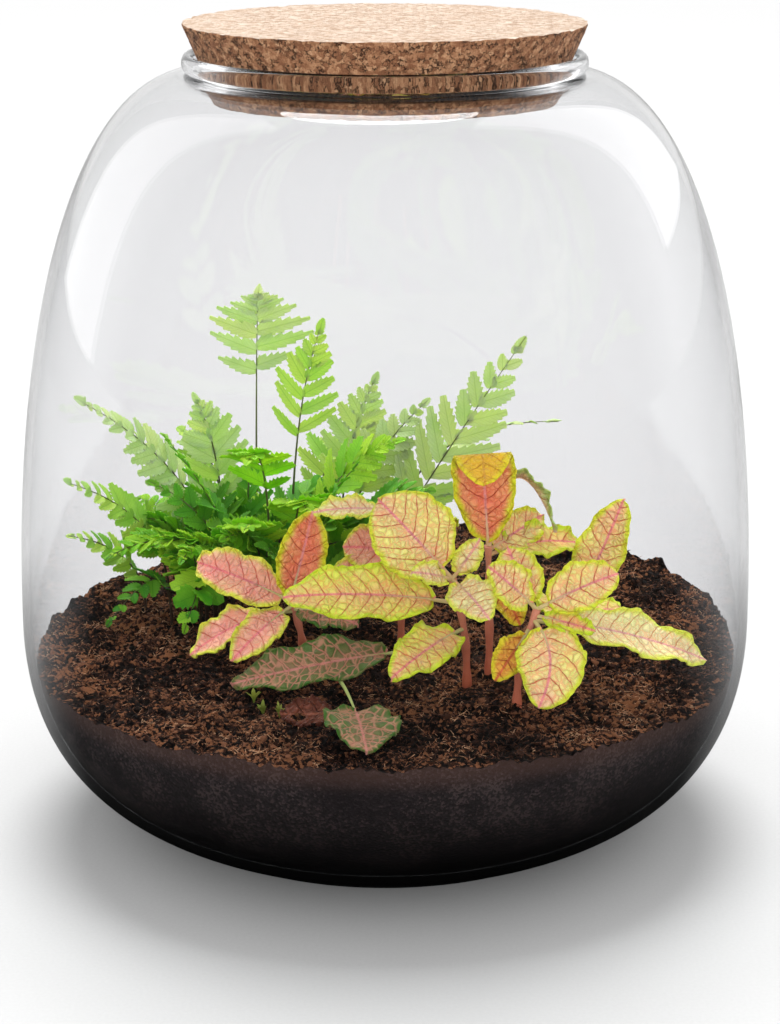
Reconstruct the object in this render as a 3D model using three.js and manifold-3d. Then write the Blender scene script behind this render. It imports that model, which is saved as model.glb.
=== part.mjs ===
// Planted jar garden: a round glass jar with a flat foot and a beaded mouth, a tapered cork
// stopper, potting soil, a fern clump and a group of nerve plants with netted leaves.
// Millimetres, +Z up. The origin is the centre of the jar's foot.

import * as THREE from 'three';
import { mergeVertices } from 'three/addons/utils/BufferGeometryUtils.js';
import Module from 'manifold-3d';

const wasm = await Module();
wasm.setup();

// Driving dimensions of the jar
const FOOT_RADIUS = 71.4;
const BELLY_RADIUS = 115.2;
const BELLY_HEIGHT = 66;
const NECK_RADIUS = 57.6;
const NECK_HEIGHT = 236.2;
const WALL = 2.6;
const FLOOR_THICKNESS = 4;
const RIM_HALF_WIDTH = 1.9;
const RIM_HALF_HEIGHT = 2.8;
const RIM_CENTRE_HEIGHT = 239;
const ROUND_SIDES = 40;
const LOWER_STEPS = 6;
const UPPER_STEPS = 7;
const CLEARANCE = 0.3;

// Handles of the wall's two curves, from the foot, the belly and the neck
const FOOT_HANDLE = { out: 8, up: 5.4 };
const BELLY_HANDLE_DOWN = 52.5;
const BELLY_HANDLE_UP = 96.4;
const NECK_HANDLE = { out: 36, up: 1.6 };

// Arc of the rim's bead, in degrees from its outermost point upwards
const RIM_ARC_START = -60;
const RIM_ARC_END = 200;
const RIM_ARC_STEP = 52;

// Driving dimensions of the stopper
const CORK_BOTTOM_HEIGHT = 227.7;
const CORK_TOP_HEIGHT = 251;
const CORK_BOTTOM_RADIUS = 51.3;
const CORK_TOP_RADIUS = 61.4;
const CORK_EDGE = 0.6;

// Driving dimensions of the soil
const SOIL_EDGE_HEIGHT = 54.6;
const SOIL_MOUND = 2;
const SOIL_BUMP = 1.3;
const SOIL_SMALL_BUMP_SHARE = 0.6;
const SOIL_BUMP_LENGTHS = { x: 11, y: 14 };
const SOIL_SMALL_BUMP_LENGTHS = { x: 17, y: 7 };
const SOIL_CLOD = 1.7;
const SOIL_CLOD_LENGTHS = { x: 4.6, y: 4.2 };
const SOIL_CLOD_SHIFT = 2.4;
const SOIL_CLOD_BENDS = { x: 1.4, y: 1.2 };
const SOIL_CLOD_BEND_LENGTHS = { x: 13, y: 11 };
const SOIL_CLOD_FADE = 5;
const SOIL_BACK_RISE = 6.5;
const SOIL_BACK_DIRECTION = { x: 0.64, y: 0.77 };
const SOIL_BACK_POWER = 1.5;
const SOIL_RADIUS = 112;
const SOIL_RINGS = [0.1, 0.2, 0.29, 0.38, 0.47, 0.55, 0.63, 0.71, 0.79, 0.86, 0.93, 1];
const ROOT_DEPTH = 9;
const BEND_HEIGHT = 1.2;
const HOLE_SIDES = 6;
const HOLE_CUT_ABOVE = 10;

// Driving dimensions of the plants
const BLADE_THICKNESS = 0.7;
const FROND_RIB_HALF_WIDTH = 0.6;
const FROND_RIB_THICKNESS = 1.1;
const STEM_HALF_WIDTH = 1.3;
const STEM_THICKNESS = 3;
const STEM_EDGE_THICKNESS = 1.4;
const PETIOLE_HALF_WIDTH = 0.8;
const PETIOLE_THICKNESS = 1.8;
const LEAF_RIB_THICKNESS = 1.26;

// Points closer than this are one point
const MERGE_DISTANCE = 1e-4;

// Colour and roughness of each material
const GLASS = { color: 0xe8eeee, roughness: 0.02, transparent: true, opacity: 0.25,
  side: THREE.DoubleSide };
const CORK = { color: 0xb98d63, roughness: 0.9 };
const SOIL = { color: 0x3a261c, roughness: 1 };
const FERN_GREEN = { color: 0x5a9632, roughness: 0.6 };
const NERVE_LEAF = { color: 0xd8cf5a, roughness: 0.5 };
const DEAD_LEAF = { color: 0x6e3b2c, roughness: 0.8 };

const vector = ([x, y, z]) => new THREE.Vector3(x, y, z);
const UP = new THREE.Vector3(0, 0, 1);

// Solids

function solidFromGeometry(geometry) {
  const plain = geometry.clone();
  plain.deleteAttribute('normal');
  plain.deleteAttribute('uv');
  const merged = mergeVertices(plain, MERGE_DISTANCE);
  return new wasm.Manifold(new wasm.Mesh({
    numProp: 3,
    vertProperties: Float32Array.from(merged.attributes.position.array),
    triVerts: Uint32Array.from(merged.index.array),
  }));
}

function geometryFromSolid(solid) {
  const mesh = solid.getMesh();
  const geometry = new THREE.BufferGeometry();
  geometry.setAttribute('position', new THREE.Float32BufferAttribute(mesh.vertProperties, 3));
  geometry.setIndex(Array.from(mesh.triVerts));
  geometry.computeVertexNormals();
  return geometry;
}

function named(name, geometry, finish) {
  const mesh = new THREE.Mesh(geometry, new THREE.MeshStandardMaterial({ metalness: 0, ...finish }));
  mesh.name = name;
  return mesh;
}

// The jar's wall as a smooth line in radius and height, moved inwards by an offset
function wallProfile(offset) {
  const lower = new THREE.CubicBezierCurve(
    new THREE.Vector2(FOOT_RADIUS, 0),
    new THREE.Vector2(FOOT_RADIUS + FOOT_HANDLE.out, FOOT_HANDLE.up),
    new THREE.Vector2(BELLY_RADIUS, BELLY_HEIGHT - BELLY_HANDLE_DOWN),
    new THREE.Vector2(BELLY_RADIUS, BELLY_HEIGHT),
  );
  const upper = new THREE.CubicBezierCurve(
    new THREE.Vector2(BELLY_RADIUS, BELLY_HEIGHT),
    new THREE.Vector2(BELLY_RADIUS, BELLY_HEIGHT + BELLY_HANDLE_UP),
    new THREE.Vector2(NECK_RADIUS + NECK_HANDLE.out, NECK_HEIGHT + NECK_HANDLE.up),
    new THREE.Vector2(NECK_RADIUS, NECK_HEIGHT),
  );
  const moved = (curve, t) => {
    const point = curve.getPoint(t);
    const tangent = curve.getTangent(t);
    return new THREE.Vector2(point.x - tangent.y * offset, point.y + tangent.x * offset);
  };
  const profile = [];
  for (let i = 0; i < LOWER_STEPS; i += 1) {
    profile.push(moved(lower, i / LOWER_STEPS));
  }
  for (let i = 0; i <= UPPER_STEPS; i += 1) {
    profile.push(moved(upper, i / UPPER_STEPS));
  }
  return profile;
}

// The stretch of a rising profile above a height, starting on that height exactly
function profileAbove(profile, height) {
  const first = profile.findIndex((point) => point.y > height);
  const below = profile[first - 1];
  const above = profile[first];
  const share = (height - below.y) / (above.y - below.y);
  return [below.clone().lerp(above, share), ...profile.slice(first)];
}

// The stretch of a rising profile below a height, ending on that height exactly
function profileBelow(profile, height) {
  const last = profile.findIndex((point) => point.y > height);
  const below = profile[last - 1];
  const above = profile[last];
  const share = (height - below.y) / (above.y - below.y);
  return [...profile.slice(0, last), below.clone().lerp(above, share)];
}

// Turns a profile in radius and height about the vertical axis
function turned(profile) {
  const geometry = new THREE.LatheGeometry(profile, ROUND_SIDES);
  geometry.rotateX(Math.PI / 2);
  return geometryFromSolid(solidFromGeometry(geometry));
}

const corkRadius = (height) => {
  const share = (height - CORK_BOTTOM_HEIGHT) / (CORK_TOP_HEIGHT - CORK_BOTTOM_HEIGHT);
  return CORK_BOTTOM_RADIUS + share * (CORK_TOP_RADIUS - CORK_BOTTOM_RADIUS);
};

function jarGeometry() {
  const outer = wallProfile(0);
  const inner = wallProfile(WALL);
  const taper = Math.atan2(CORK_TOP_RADIUS - CORK_BOTTOM_RADIUS, CORK_TOP_HEIGHT - CORK_BOTTOM_HEIGHT);
  const reach = Math.hypot(RIM_HALF_WIDTH * Math.cos(taper), RIM_HALF_HEIGHT * Math.sin(taper));
  const rimCentre = corkRadius(RIM_CENTRE_HEIGHT) + (reach + CLEARANCE) / Math.cos(taper);
  const rim = [];
  for (let degrees = RIM_ARC_START; degrees <= RIM_ARC_END; degrees += RIM_ARC_STEP) {
    const angle = THREE.MathUtils.degToRad(degrees);
    rim.push(new THREE.Vector2(
      rimCentre + Math.cos(angle) * RIM_HALF_WIDTH,
      RIM_CENTRE_HEIGHT + Math.sin(angle) * RIM_HALF_HEIGHT,
    ));
  }
  const cavity = profileAbove(inner, FLOOR_THICKNESS).reverse();
  return turned([new THREE.Vector2(0, 0), ...outer, ...rim, ...cavity,
    new THREE.Vector2(0, FLOOR_THICKNESS), new THREE.Vector2(0, 0)]);
}

function corkGeometry() {
  return turned([
    new THREE.Vector2(0, CORK_BOTTOM_HEIGHT),
    new THREE.Vector2(CORK_BOTTOM_RADIUS - CORK_EDGE, CORK_BOTTOM_HEIGHT),
    new THREE.Vector2(corkRadius(CORK_BOTTOM_HEIGHT + CORK_EDGE), CORK_BOTTOM_HEIGHT + CORK_EDGE),
    new THREE.Vector2(corkRadius(CORK_TOP_HEIGHT - CORK_EDGE), CORK_TOP_HEIGHT - CORK_EDGE),
    new THREE.Vector2(CORK_TOP_RADIUS - CORK_EDGE, CORK_TOP_HEIGHT),
    new THREE.Vector2(0, CORK_TOP_HEIGHT),
  ]);
}

// Clods of soil as wide as a thumb, between -1 and 1
function soilClods(x, y) {
  const alongX = x / SOIL_CLOD_LENGTHS.x + SOIL_CLOD_BENDS.x * Math.sin(y / SOIL_CLOD_BEND_LENGTHS.x);
  const alongY = y / SOIL_CLOD_LENGTHS.y + SOIL_CLOD_BENDS.y * Math.sin(x / SOIL_CLOD_BEND_LENGTHS.y);
  return Math.sin(alongX + SOIL_CLOD_SHIFT) * Math.cos(alongY);
}

// Height of the soil: mounded and cloddy inside, and rising towards the back right
function soilHeight(x, y) {
  const inside = 1 - Math.min(1, (x * x + y * y) / SOIL_RADIUS ** 2);
  const large = Math.sin(x / SOIL_BUMP_LENGTHS.x + 1) * Math.cos(y / SOIL_BUMP_LENGTHS.y);
  const small = Math.sin(y / SOIL_SMALL_BUMP_LENGTHS.y - x / SOIL_SMALL_BUMP_LENGTHS.x);
  const bumps = large + SOIL_SMALL_BUMP_SHARE * small;
  const backwards = Math.max(0, (SOIL_BACK_DIRECTION.x * x + SOIL_BACK_DIRECTION.y * y) / SOIL_RADIUS);
  const clods = Math.min(1, SOIL_CLOD_FADE * inside) * SOIL_CLOD * soilClods(x, y);
  return SOIL_EDGE_HEIGHT + inside * SOIL_MOUND + Math.sqrt(inside) * SOIL_BUMP * bumps + clods
    + SOIL_BACK_RISE * backwards ** SOIL_BACK_POWER;
}

// Where a stem leaves the soil and starts to lean
const rootPoint = ([x, y]) => new THREE.Vector3(x, y, soilHeight(x, y) + BEND_HEIGHT);

// The soil is turned up to its level, then its top is raised ring by ring
function soilSolid() {
  const wall = wallProfile(WALL + CLEARANCE);
  const side = profileBelow(profileAbove(wall, FLOOR_THICKNESS + CLEARANCE), SOIL_EDGE_HEIGHT);
  const edge = side[side.length - 1];
  const rings = [...SOIL_RINGS].reverse().slice(1);
  const top = rings.map((share) => new THREE.Vector2(edge.x * share, SOIL_EDGE_HEIGHT));
  const profile = [new THREE.Vector2(0, FLOOR_THICKNESS + CLEARANCE), ...side, ...top,
    new THREE.Vector2(0, SOIL_EDGE_HEIGHT)];
  const geometry = new THREE.LatheGeometry(profile, ROUND_SIDES);
  geometry.rotateX(Math.PI / 2);
  const position = geometry.attributes.position;
  for (let i = 0; i < position.count; i += 1) {
    if (position.getZ(i) > SOIL_EDGE_HEIGHT - MERGE_DISTANCE) {
      position.setZ(i, soilHeight(position.getX(i), position.getY(i)));
    }
  }
  return solidFromGeometry(geometry);
}

// An upright plain hole in the soil for a stem that goes straight down
function stemHole(x, y, radius) {
  const height = ROOT_DEPTH + CLEARANCE + HOLE_CUT_ABOVE;
  const hole = new THREE.CylinderGeometry(radius, radius, height, HOLE_SIDES);
  hole.rotateX(Math.PI / 2);
  hole.translate(x, y, soilHeight(x, y) - ROOT_DEPTH - CLEARANCE + height / 2);
  return solidFromGeometry(hole);
}

// Blades

// A sheet of triangles, with a thickness at each of its points
class Sheet {
  constructor() {
    this.points = [];
    this.thickness = [];
    this.faces = [];
  }

  point(position, thickness) {
    this.points.push(position);
    this.thickness.push(thickness);
    return this.points.length - 1;
  }

  // The closed solid with both faces split alike and a wall along the sheet's edge
  solid() {
    const count = this.points.length;
    const flat = new THREE.BufferGeometry().setFromPoints(this.points);
    flat.setIndex(this.faces.flat());
    flat.computeVertexNormals();
    const normals = flat.attributes.normal;
    const positions = [];
    for (const side of [0.5, -0.5]) {
      this.points.forEach((point, i) => {
        const normal = new THREE.Vector3().fromBufferAttribute(normals, i);
        positions.push(point.clone().addScaledVector(normal, side * this.thickness[i]));
      });
    }
    const edges = new Set(this.faces.flatMap(([a, b, c]) => [`${a} ${b}`, `${b} ${c}`, `${c} ${a}`]));
    const faces = [];
    for (const [a, b, c] of this.faces) {
      faces.push(a, b, c);
      faces.push(c + count, b + count, a + count);
      for (const [from, to] of [[a, b], [b, c], [c, a]]) {
        if (!edges.has(`${to} ${from}`)) {
          faces.push(from, from + count, to + count);
          faces.push(from, to + count, to);
        }
      }
    }
    const geometry = new THREE.BufferGeometry().setFromPoints(positions);
    geometry.setIndex(faces);
    return solidFromGeometry(geometry);
  }
}

// Where a rib runs at a share of its length: its point, direction, right side and upper face
function frameAt(curve, share, right, roll) {
  const point = curve.getPoint(share);
  const along = curve.getTangent(share);
  const up = new THREE.Vector3().crossVectors(right, along).normalize();
  up.applyAxisAngle(along, THREE.MathUtils.degToRad(roll));
  const side = new THREE.Vector3().crossVectors(along, up);
  return { point, along, side, up };
}

// Points of a rib across a frame: each a share of its half width, with its thickness there
function ribRow(sheet, frame, halfWidth, section) {
  return section.map(([across, thickness]) => sheet.point(
    frame.point.clone().addScaledVector(frame.side, across * halfWidth), thickness));
}

// Joins two rows of points, and leaves the place numbered open out
function joinRows(sheet, row, next, open = -1) {
  for (let i = 0; i + 1 < row.length; i += 1) {
    if (i !== open) {
      sheet.faces.push([row[i], row[i + 1], next[i + 1]], [row[i], next[i + 1], next[i]]);
    }
  }
}

// Fern fronds

// Half outline of a leaflet: share of its length, and of its width forward of its middle line
const LEAFLET = [[0.2, -0.5], [0.68, -0.42], [1, 0.1], [0.62, 0.46], [0.16, 0.62]];
const SMALL_LEAFLET = [[0.5, -0.52], [1, 0.05], [0.45, 0.55]];
const LEAFLET_ANGLE = THREE.MathUtils.degToRad(64);
const LEAFLET_DROOP = 0.008;
const LEAFLET_ROOT = 0.62;
const LEAFLET_SPREAD = 1.3;
const FROND_BLADE_END = 0.97;

// Share of the frond's half width that a leaflet reaches, from the blade's foot to its tip
const frondShape = (share) => 0.16 + 0.84 * Math.sin(Math.PI * (0.32 + 0.68 * share));

// One leaflet on one side of the rib, rooted on the rib's edge between two rows
function addLeaflet(sheet, frame, side, roots, rootWidth, length, outline) {
  const sine = Math.sin(LEAFLET_ANGLE);
  const cosine = Math.cos(LEAFLET_ANGLE);
  const plan = outline.map(([out, forward]) => new THREE.Vector2(
    side * (FROND_RIB_HALF_WIDTH + out * length * sine),
    out * length * cosine + forward * rootWidth * LEAFLET_SPREAD,
  ));
  const contour = [new THREE.Vector2(side * FROND_RIB_HALF_WIDTH, -rootWidth / 2), ...plan,
    new THREE.Vector2(side * FROND_RIB_HALF_WIDTH, rootWidth / 2)];
  const indices = plan.map(({ x, y }) => sheet.point(
    frame.point.clone()
      .addScaledVector(frame.side, x)
      .addScaledVector(frame.along, y)
      .addScaledVector(frame.up, -LEAFLET_DROOP * x * x),
    BLADE_THICKNESS,
  ));
  const all = [roots[0], ...indices, roots[1]];
  for (const [a, b, c] of THREE.ShapeUtils.triangulateShape(contour, [])) {
    const ab = contour[b].clone().sub(contour[a]);
    const ac = contour[c].clone().sub(contour[a]);
    sheet.faces.push(ab.cross(ac) > 0 ? [all[a], all[b], all[c]] : [all[a], all[c], all[b]]);
  }
}

// A frond: a stalk that goes straight down into the soil, and a feathered blade along the arch
function frondSolid({ root, tip, lift, bare, width, pairs, roll = 0, outline = SMALL_LEAFLET }) {
  const ground = rootPoint(root);
  const control = ground.clone().add(new THREE.Vector3(0, 0, lift));
  const curve = new THREE.QuadraticBezierCurve3(ground, control, vector(tip));
  const sideways = new THREE.Vector3().crossVectors(vector(tip).sub(ground).setZ(0), UP).normalize();
  const section = [[-1, FROND_RIB_THICKNESS], [1, FROND_RIB_THICKNESS]];
  const sheet = new Sheet();
  const frame = (share) => frameAt(curve, share, sideways, roll * Math.min(1, share / bare));

  const buried = frame(0);
  buried.point.addScaledVector(UP, -ROOT_DEPTH - BEND_HEIGHT);
  let row = ribRow(sheet, buried, FROND_RIB_HALF_WIDTH, section);
  const step = (share) => {
    const next = ribRow(sheet, frame(share), FROND_RIB_HALF_WIDTH, section);
    joinRows(sheet, row, next);
    row = next;
  };
  [0, bare / 2, bare].forEach(step);

  const pitch = (FROND_BLADE_END - bare) / pairs;
  for (let i = 0; i < pairs; i += 1) {
    const start = bare + i * pitch;
    const before = row;
    step(start + pitch * LEAFLET_ROOT);
    const middle = frame(start + pitch * LEAFLET_ROOT / 2);
    const rootWidth = curve.getPoint(start).distanceTo(curve.getPoint(start + pitch * LEAFLET_ROOT));
    const length = frondShape(i / (pairs - 1)) * width / 2;
    addLeaflet(sheet, middle, -1, [before[0], row[0]], rootWidth, length, outline);
    addLeaflet(sheet, middle, 1, [before[1], row[1]], rootWidth, length, outline);
    if (i < pairs - 1) {
      step(start + pitch);
    }
  }
  const end = sheet.point(curve.getPoint(1), BLADE_THICKNESS);
  sheet.faces.push([row[0], row[1], end]);
  return sheet.solid();
}

// Nerve plants

const LEAF_COLUMNS = [-1, -0.5, 0, 0.5, 1];
const LEAF_WAVE = 1;
const LEAF_WAVE_RATE = 17;
const LEAF_WAVE_SHIFT = 2;

// Half width of a leaf at a share of its length
const leafShape = (share, width) => (width / 2) * Math.sin(Math.PI * share ** 0.8) ** 0.75;

// A leaf with its stalk: arched, folded along the rib and waved along its edge. worn is a row and a
// place in that row where the blade has a hole
function leafSolid(from, { tip, arch, width, face, sway = 0, stalk = 0.15, fold = 0.2, rows = 5,
  worn = [] }) {
  const facing = vector(face).normalize();
  const right = new THREE.Vector3().crossVectors(vector(tip).sub(from), facing).normalize();
  const control = from.clone().lerp(vector(tip), 0.5)
    .addScaledVector(facing, arch)
    .addScaledVector(right, sway);
  const curve = new THREE.QuadraticBezierCurve3(from, control, vector(tip));
  const sheet = new Sheet();
  const frame = (share) => frameAt(curve, share, right, 0);
  const section = [[-1, BLADE_THICKNESS], [0, PETIOLE_THICKNESS], [1, BLADE_THICKNESS]];
  const petioleRow = (share) => ribRow(sheet, frame(share), PETIOLE_HALF_WIDTH, section);
  const stalkStart = petioleRow(0);
  const stalkEnd = petioleRow(stalk);
  joinRows(sheet, stalkStart, stalkEnd);

  const bladeRow = (share) => {
    const { point, side, up } = frame(stalk + (1 - stalk) * share);
    const half = leafShape(share, width);
    return LEAF_COLUMNS.map((across) => {
      const turn = share * LEAF_WAVE_RATE + (across > 0 ? LEAF_WAVE_SHIFT : 0);
      const lifted = Math.abs(across) * half * fold + across ** 2 * LEAF_WAVE * Math.sin(turn);
      const position = point.clone().addScaledVector(side, across * half).addScaledVector(up, lifted);
      return sheet.point(position, across === 0 ? LEAF_RIB_THICKNESS : BLADE_THICKNESS);
    });
  };
  let row = bladeRow(1 / (rows + 1));
  const [first, middle, last] = stalkEnd;
  sheet.faces.push(
    [first, row[1], row[0]], [first, middle, row[2]], [first, row[2], row[1]],
    [middle, last, row[3]], [middle, row[3], row[2]], [last, row[4], row[3]],
  );
  for (let i = 2; i <= rows; i += 1) {
    const next = bladeRow(i / (rows + 1));
    joinRows(sheet, row, next, i === worn[0] ? worn[1] : -1);
    row = next;
  }
  const end = sheet.point(curve.getPoint(1), BLADE_THICKNESS);
  for (let i = 0; i + 1 < row.length; i += 1) {
    sheet.faces.push([row[i], row[i + 1], end]);
  }
  return sheet.solid();
}

// The line of a stem that rises straight out of the soil and leans to its top
function stemCurve({ root, top }) {
  const ground = rootPoint(root);
  const control = ground.clone().lerp(vector(top), 0.5).setX(root[0]).setY(root[1]);
  return new THREE.QuadraticBezierCurve3(ground, control, vector(top));
}

const STEM_SHARES = [0, 0.35, 0.7, 1];

function stemSolid(stem) {
  const { thin = 1 } = stem;
  const section = [[-1, thin * STEM_EDGE_THICKNESS], [0, thin * STEM_THICKNESS],
    [1, thin * STEM_EDGE_THICKNESS]];
  const halfWidth = thin * STEM_HALF_WIDTH;
  const curve = stemCurve(stem);
  const sheet = new Sheet();
  const right = new THREE.Vector3(1, 0, 0);
  const buried = frameAt(curve, 0, right, 0);
  buried.point.addScaledVector(UP, -ROOT_DEPTH - BEND_HEIGHT);
  let row = ribRow(sheet, buried, halfWidth, section);
  for (const share of STEM_SHARES) {
    const next = ribRow(sheet, frameAt(curve, share, right, 0), halfWidth, section);
    joinRows(sheet, row, next);
    row = next;
  }
  return sheet.solid();
}

// A stem with its leaves joined to it, each at a share of the stem's height
function leafyStemSolid({ stem, leaves }) {
  const curve = stemCurve(stem);
  return leaves.reduce(
    (plant, leaf) => plant.add(leafSolid(curve.getPoint(leaf.at ?? 1), leaf)),
    stemSolid(stem),
  );
}

// The plants as they stand: roots on the soil, tips and leaf ends in the jar's frame

const FRONDS = {
  fern_frond_tall: { root: [-44, 56], tip: [-43, 66, 156], lift: 70, bare: 0.55, width: 34, pairs: 6 },
  fern_frond_centre: { root: [-32, 46], tip: [-21, 47, 148], lift: 60, bare: 0.42, width: 36, pairs: 7,
    roll: 75, outline: LEAFLET },
  fern_frond_right: { root: [-6, 40], tip: [48, 40, 148], lift: 12, bare: 0.48, width: 46, pairs: 8,
    roll: 85, outline: LEAFLET },
  fern_frond_far_right: { root: [2, 56], tip: [61, 66, 110], lift: 55, bare: 0.45, width: 20, pairs: 6 },
  fern_frond_back: { root: [-16, 56], tip: [-3, 62, 127], lift: 45, bare: 0.4, width: 30, pairs: 6,
    roll: 70 },
  fern_frond_middle: { root: [-14, 44], tip: [15, 50, 122], lift: 38, bare: 0.42, width: 28, pairs: 6,
    roll: 60 },
  fern_frond_left_middle: { root: [-54, 48], tip: [-64, 52, 122], lift: 48, bare: 0.35, width: 30,
    pairs: 7, roll: -70 },
  fern_frond_left: { root: [-56, 34], tip: [-100, 8, 133], lift: 45, bare: 0.28, width: 34, pairs: 10,
    roll: -50 },
  fern_frond_far_left: { root: [-66, 44], tip: [-92, 42, 118], lift: 45, bare: 0.4, width: 24, pairs: 7 },
  fern_frond_low_left: { root: [-72, 30], tip: [-104, 6, 106], lift: 32, bare: 0.3, width: 26, pairs: 8,
    roll: -50 },
  fern_frond_lowest_left: { root: [-80, 28], tip: [-104, 12, 86], lift: 22, bare: 0.3, width: 22,
    pairs: 6, roll: -40 },
  fern_frond_front_left: { root: [-70, 14], tip: [-89, -12, 62], lift: 30, bare: 0.25, width: 26,
    pairs: 7 },
  fern_frond_front: { root: [-54, 10], tip: [-63, -24, 64], lift: 34, bare: 0.25, width: 28, pairs: 7 },
  fern_frond_inner_left: { root: [-52, 18], tip: [-78, -8, 86], lift: 38, bare: 0.34, width: 25, pairs: 7 },
  fern_frond_inner: { root: [-38, 28], tip: [-44, 4, 112], lift: 62, bare: 0.4, width: 32, pairs: 7 },
  fern_frond_inner_right: { root: [-24, 32], tip: [6, 26, 114], lift: 52, bare: 0.35, width: 32,
    pairs: 7, roll: 40 },
  fern_frond_inner_front: { root: [-40, 9], tip: [-44, -16, 96], lift: 42, bare: 0.35, width: 30,
    pairs: 7 },
  fern_frond_middle_front: { root: [-30, 18], tip: [-24, -8, 98], lift: 52, bare: 0.4, width: 30,
    pairs: 7 },
  fern_frond_right_front: { root: [-12, 22], tip: [16, 6, 102], lift: 46, bare: 0.38, width: 28,
    pairs: 7, roll: 30 },
  fern_frond_low_front_left: { root: [-62, 20], tip: [-90, -2, 82], lift: 36, bare: 0.3, width: 26,
    pairs: 7, roll: -20 },
  fern_frond_back_left: { root: [-54, 60], tip: [-72, 78, 104], lift: 50, bare: 0.35, width: 30,
    pairs: 7 },
  fern_frond_back_right: { root: [-24, 64], tip: [-12, 92, 98], lift: 48, bare: 0.35, width: 30,
    pairs: 7 },
};

const NERVE_PLANTS = {
  nerve_plant_front_right: {
    stem: { root: [39, -66], top: [44.5, -66, 87] },
    leaves: [
      { tip: [30, -76, 103], arch: 3, width: 13, face: [-0.3, -1, 0.9] },
      { tip: [68, -66, 98], arch: 4, width: 15, face: [0, -1, 0.8] },
      { at: 0.97, tip: [36, -56, 103], arch: 4, width: 13, face: [0, -1, 0.4] },
      { at: 0.9, tip: [44, -87, 64], arch: 5, sway: -8, width: 20, face: [0, -1, 0.9] },
      { at: 0.88, tip: [97, -46, 64], arch: 9, width: 15, face: [0, -0.8, 1], stalk: 0.2 },
      { at: 0.8, tip: [32, -80, 70], arch: 2, width: 10, face: [0, -1, 0.7], rows: 4 },
      { at: 0.94, tip: [61, -74, 83], arch: 1, width: 7, face: [0, -1, 1], rows: 3 },
    ],
  },
  nerve_plant_front_middle: {
    stem: { root: [25, -42], top: [20, -56, 93] },
    leaves: [
      { tip: [-2, -54, 117], arch: 5, width: 25, face: [0, -1, 0.5], rows: 6 },
      { tip: [28, -58, 106], arch: 2, width: 8, face: [0.2, -1, 0.5], rows: 3 },
      { tip: [8, -68, 99], arch: 2, width: 8, face: [0, -1, 0.8], rows: 3 },
      { tip: [30, -78, 88], arch: 4, width: 14, face: [0, -1, 0.8] },
      { at: 0.75, tip: [-30, -64, 90], arch: 8, width: 18, face: [0, -1, 0.9], rows: 6 },
      { at: 0.5, tip: [2, -78, 70], arch: 5, width: 15, face: [0.2, -0.7, 1] },
      { at: 0.35, tip: [-46, -56, 60], arch: 5, width: 16, face: [0, -0.7, 1], stalk: 0.34, rows: 6 },
    ],
  },
  nerve_plant_back_middle: {
    stem: { root: [32, -36], top: [31, -42, 99] },
    leaves: [
      { tip: [29, -38, 128], arch: 3, width: 19, face: [0, -1, 0.1], stalk: 0.05 },
      { tip: [52, -37, 102], arch: 38, width: 8, face: [-0.1, 0.2, 1], stalk: 0.3, fold: 0.5 },
      { at: 0.93, tip: [60, -33, 97], arch: 7, width: 13, face: [0, -0.7, 1], stalk: 0.1 },
      { at: 0.96, tip: [48, -32, 106], arch: 2, width: 13, face: [0, -1, 0.5], stalk: 0.1 },
      { at: 0.85, tip: [40, -60, 80], arch: 3, width: 10, face: [0, -1, 0.8], rows: 4 },
    ],
  },
  nerve_plant_right: {
    stem: { root: [50, -46], top: [56, -48, 80] },
    leaves: [
      { tip: [71, -44, 114], arch: -5, width: 15, face: [-0.4, -1, 0.2], stalk: 0.1 },
      { at: 0.85, tip: [74, -36, 76], arch: 5, width: 12, face: [0, -0.3, 1] },
      { at: 0.7, tip: [52, -22, 76], arch: 5, width: 13, face: [0, 0.3, 1], rows: 4 },
    ],
  },
  nerve_plant_middle: {
    stem: { root: [5, -24], top: [5, -34, 107] },
    leaves: [
      { tip: [-22, -37, 108], arch: 4, width: 9, face: [0, -0.6, 1], stalk: 0.25 },
      { at: 0.72, tip: [-13, -30, 95], arch: 4, width: 15, face: [0, -1, 0.5], stalk: 0.1 },
      { at: 0.5, tip: [-17, -36, 88], arch: 5, width: 13, face: [0, -1, 0.7] },
      { at: 0.8, tip: [22, -16, 98], arch: 5, width: 14, face: [0.1, 0.2, 1], rows: 4 },
    ],
  },
  nerve_plant_left: {
    stem: { root: [-25, -32], top: [-29, -34, 79] },
    leaves: [
      { tip: [-57, -36, 92], arch: 4, width: 15, face: [0, -1, 0.8], stalk: 0.08 },
      { tip: [-22, -28, 106], arch: 3, width: 15, face: [0.1, -1, 0.2], stalk: 0.05 },
      { at: 0.93, tip: [-46, -52, 66], arch: 5, width: 12, face: [0, -1, 0.9] },
      { at: 0.85, tip: [-60, -36, 62], arch: 9, width: 13, face: [0, -0.6, 1], stalk: 0.3 },
      { at: 0.88, tip: [-8, -48, 76], arch: 4, width: 12, face: [0, -0.8, 1], stalk: 0.1 },
    ],
  },
  nerve_plant_low_shoot: {
    stem: { root: [-14, -44], top: [-15, -47, 60], thin: 0.7 },
    leaves: [
      { tip: [-5, -105, 58], arch: 7, width: 22, face: [0.2, -0.5, 1], stalk: 0.6, rows: 4 },
    ],
  },
};

// A dead leaf that lies on the soil, propped up at the back
const FALLEN_LEAF_FOOT = [-14.5, -76.5, 58.7];
const FALLEN_LEAF = { tip: [-30.5, -76, 58.1], arch: -1, width: 11, face: [0, -0.5, 0.87], stalk: 0.06,
  fold: 0.2, worn: [3, 1] };

// Assembly

const garden = new THREE.Group();
garden.name = 'jar_garden';
garden.add(named('glass_jar', jarGeometry(), GLASS));
garden.add(named('cork_stopper', corkGeometry(), CORK));

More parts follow.
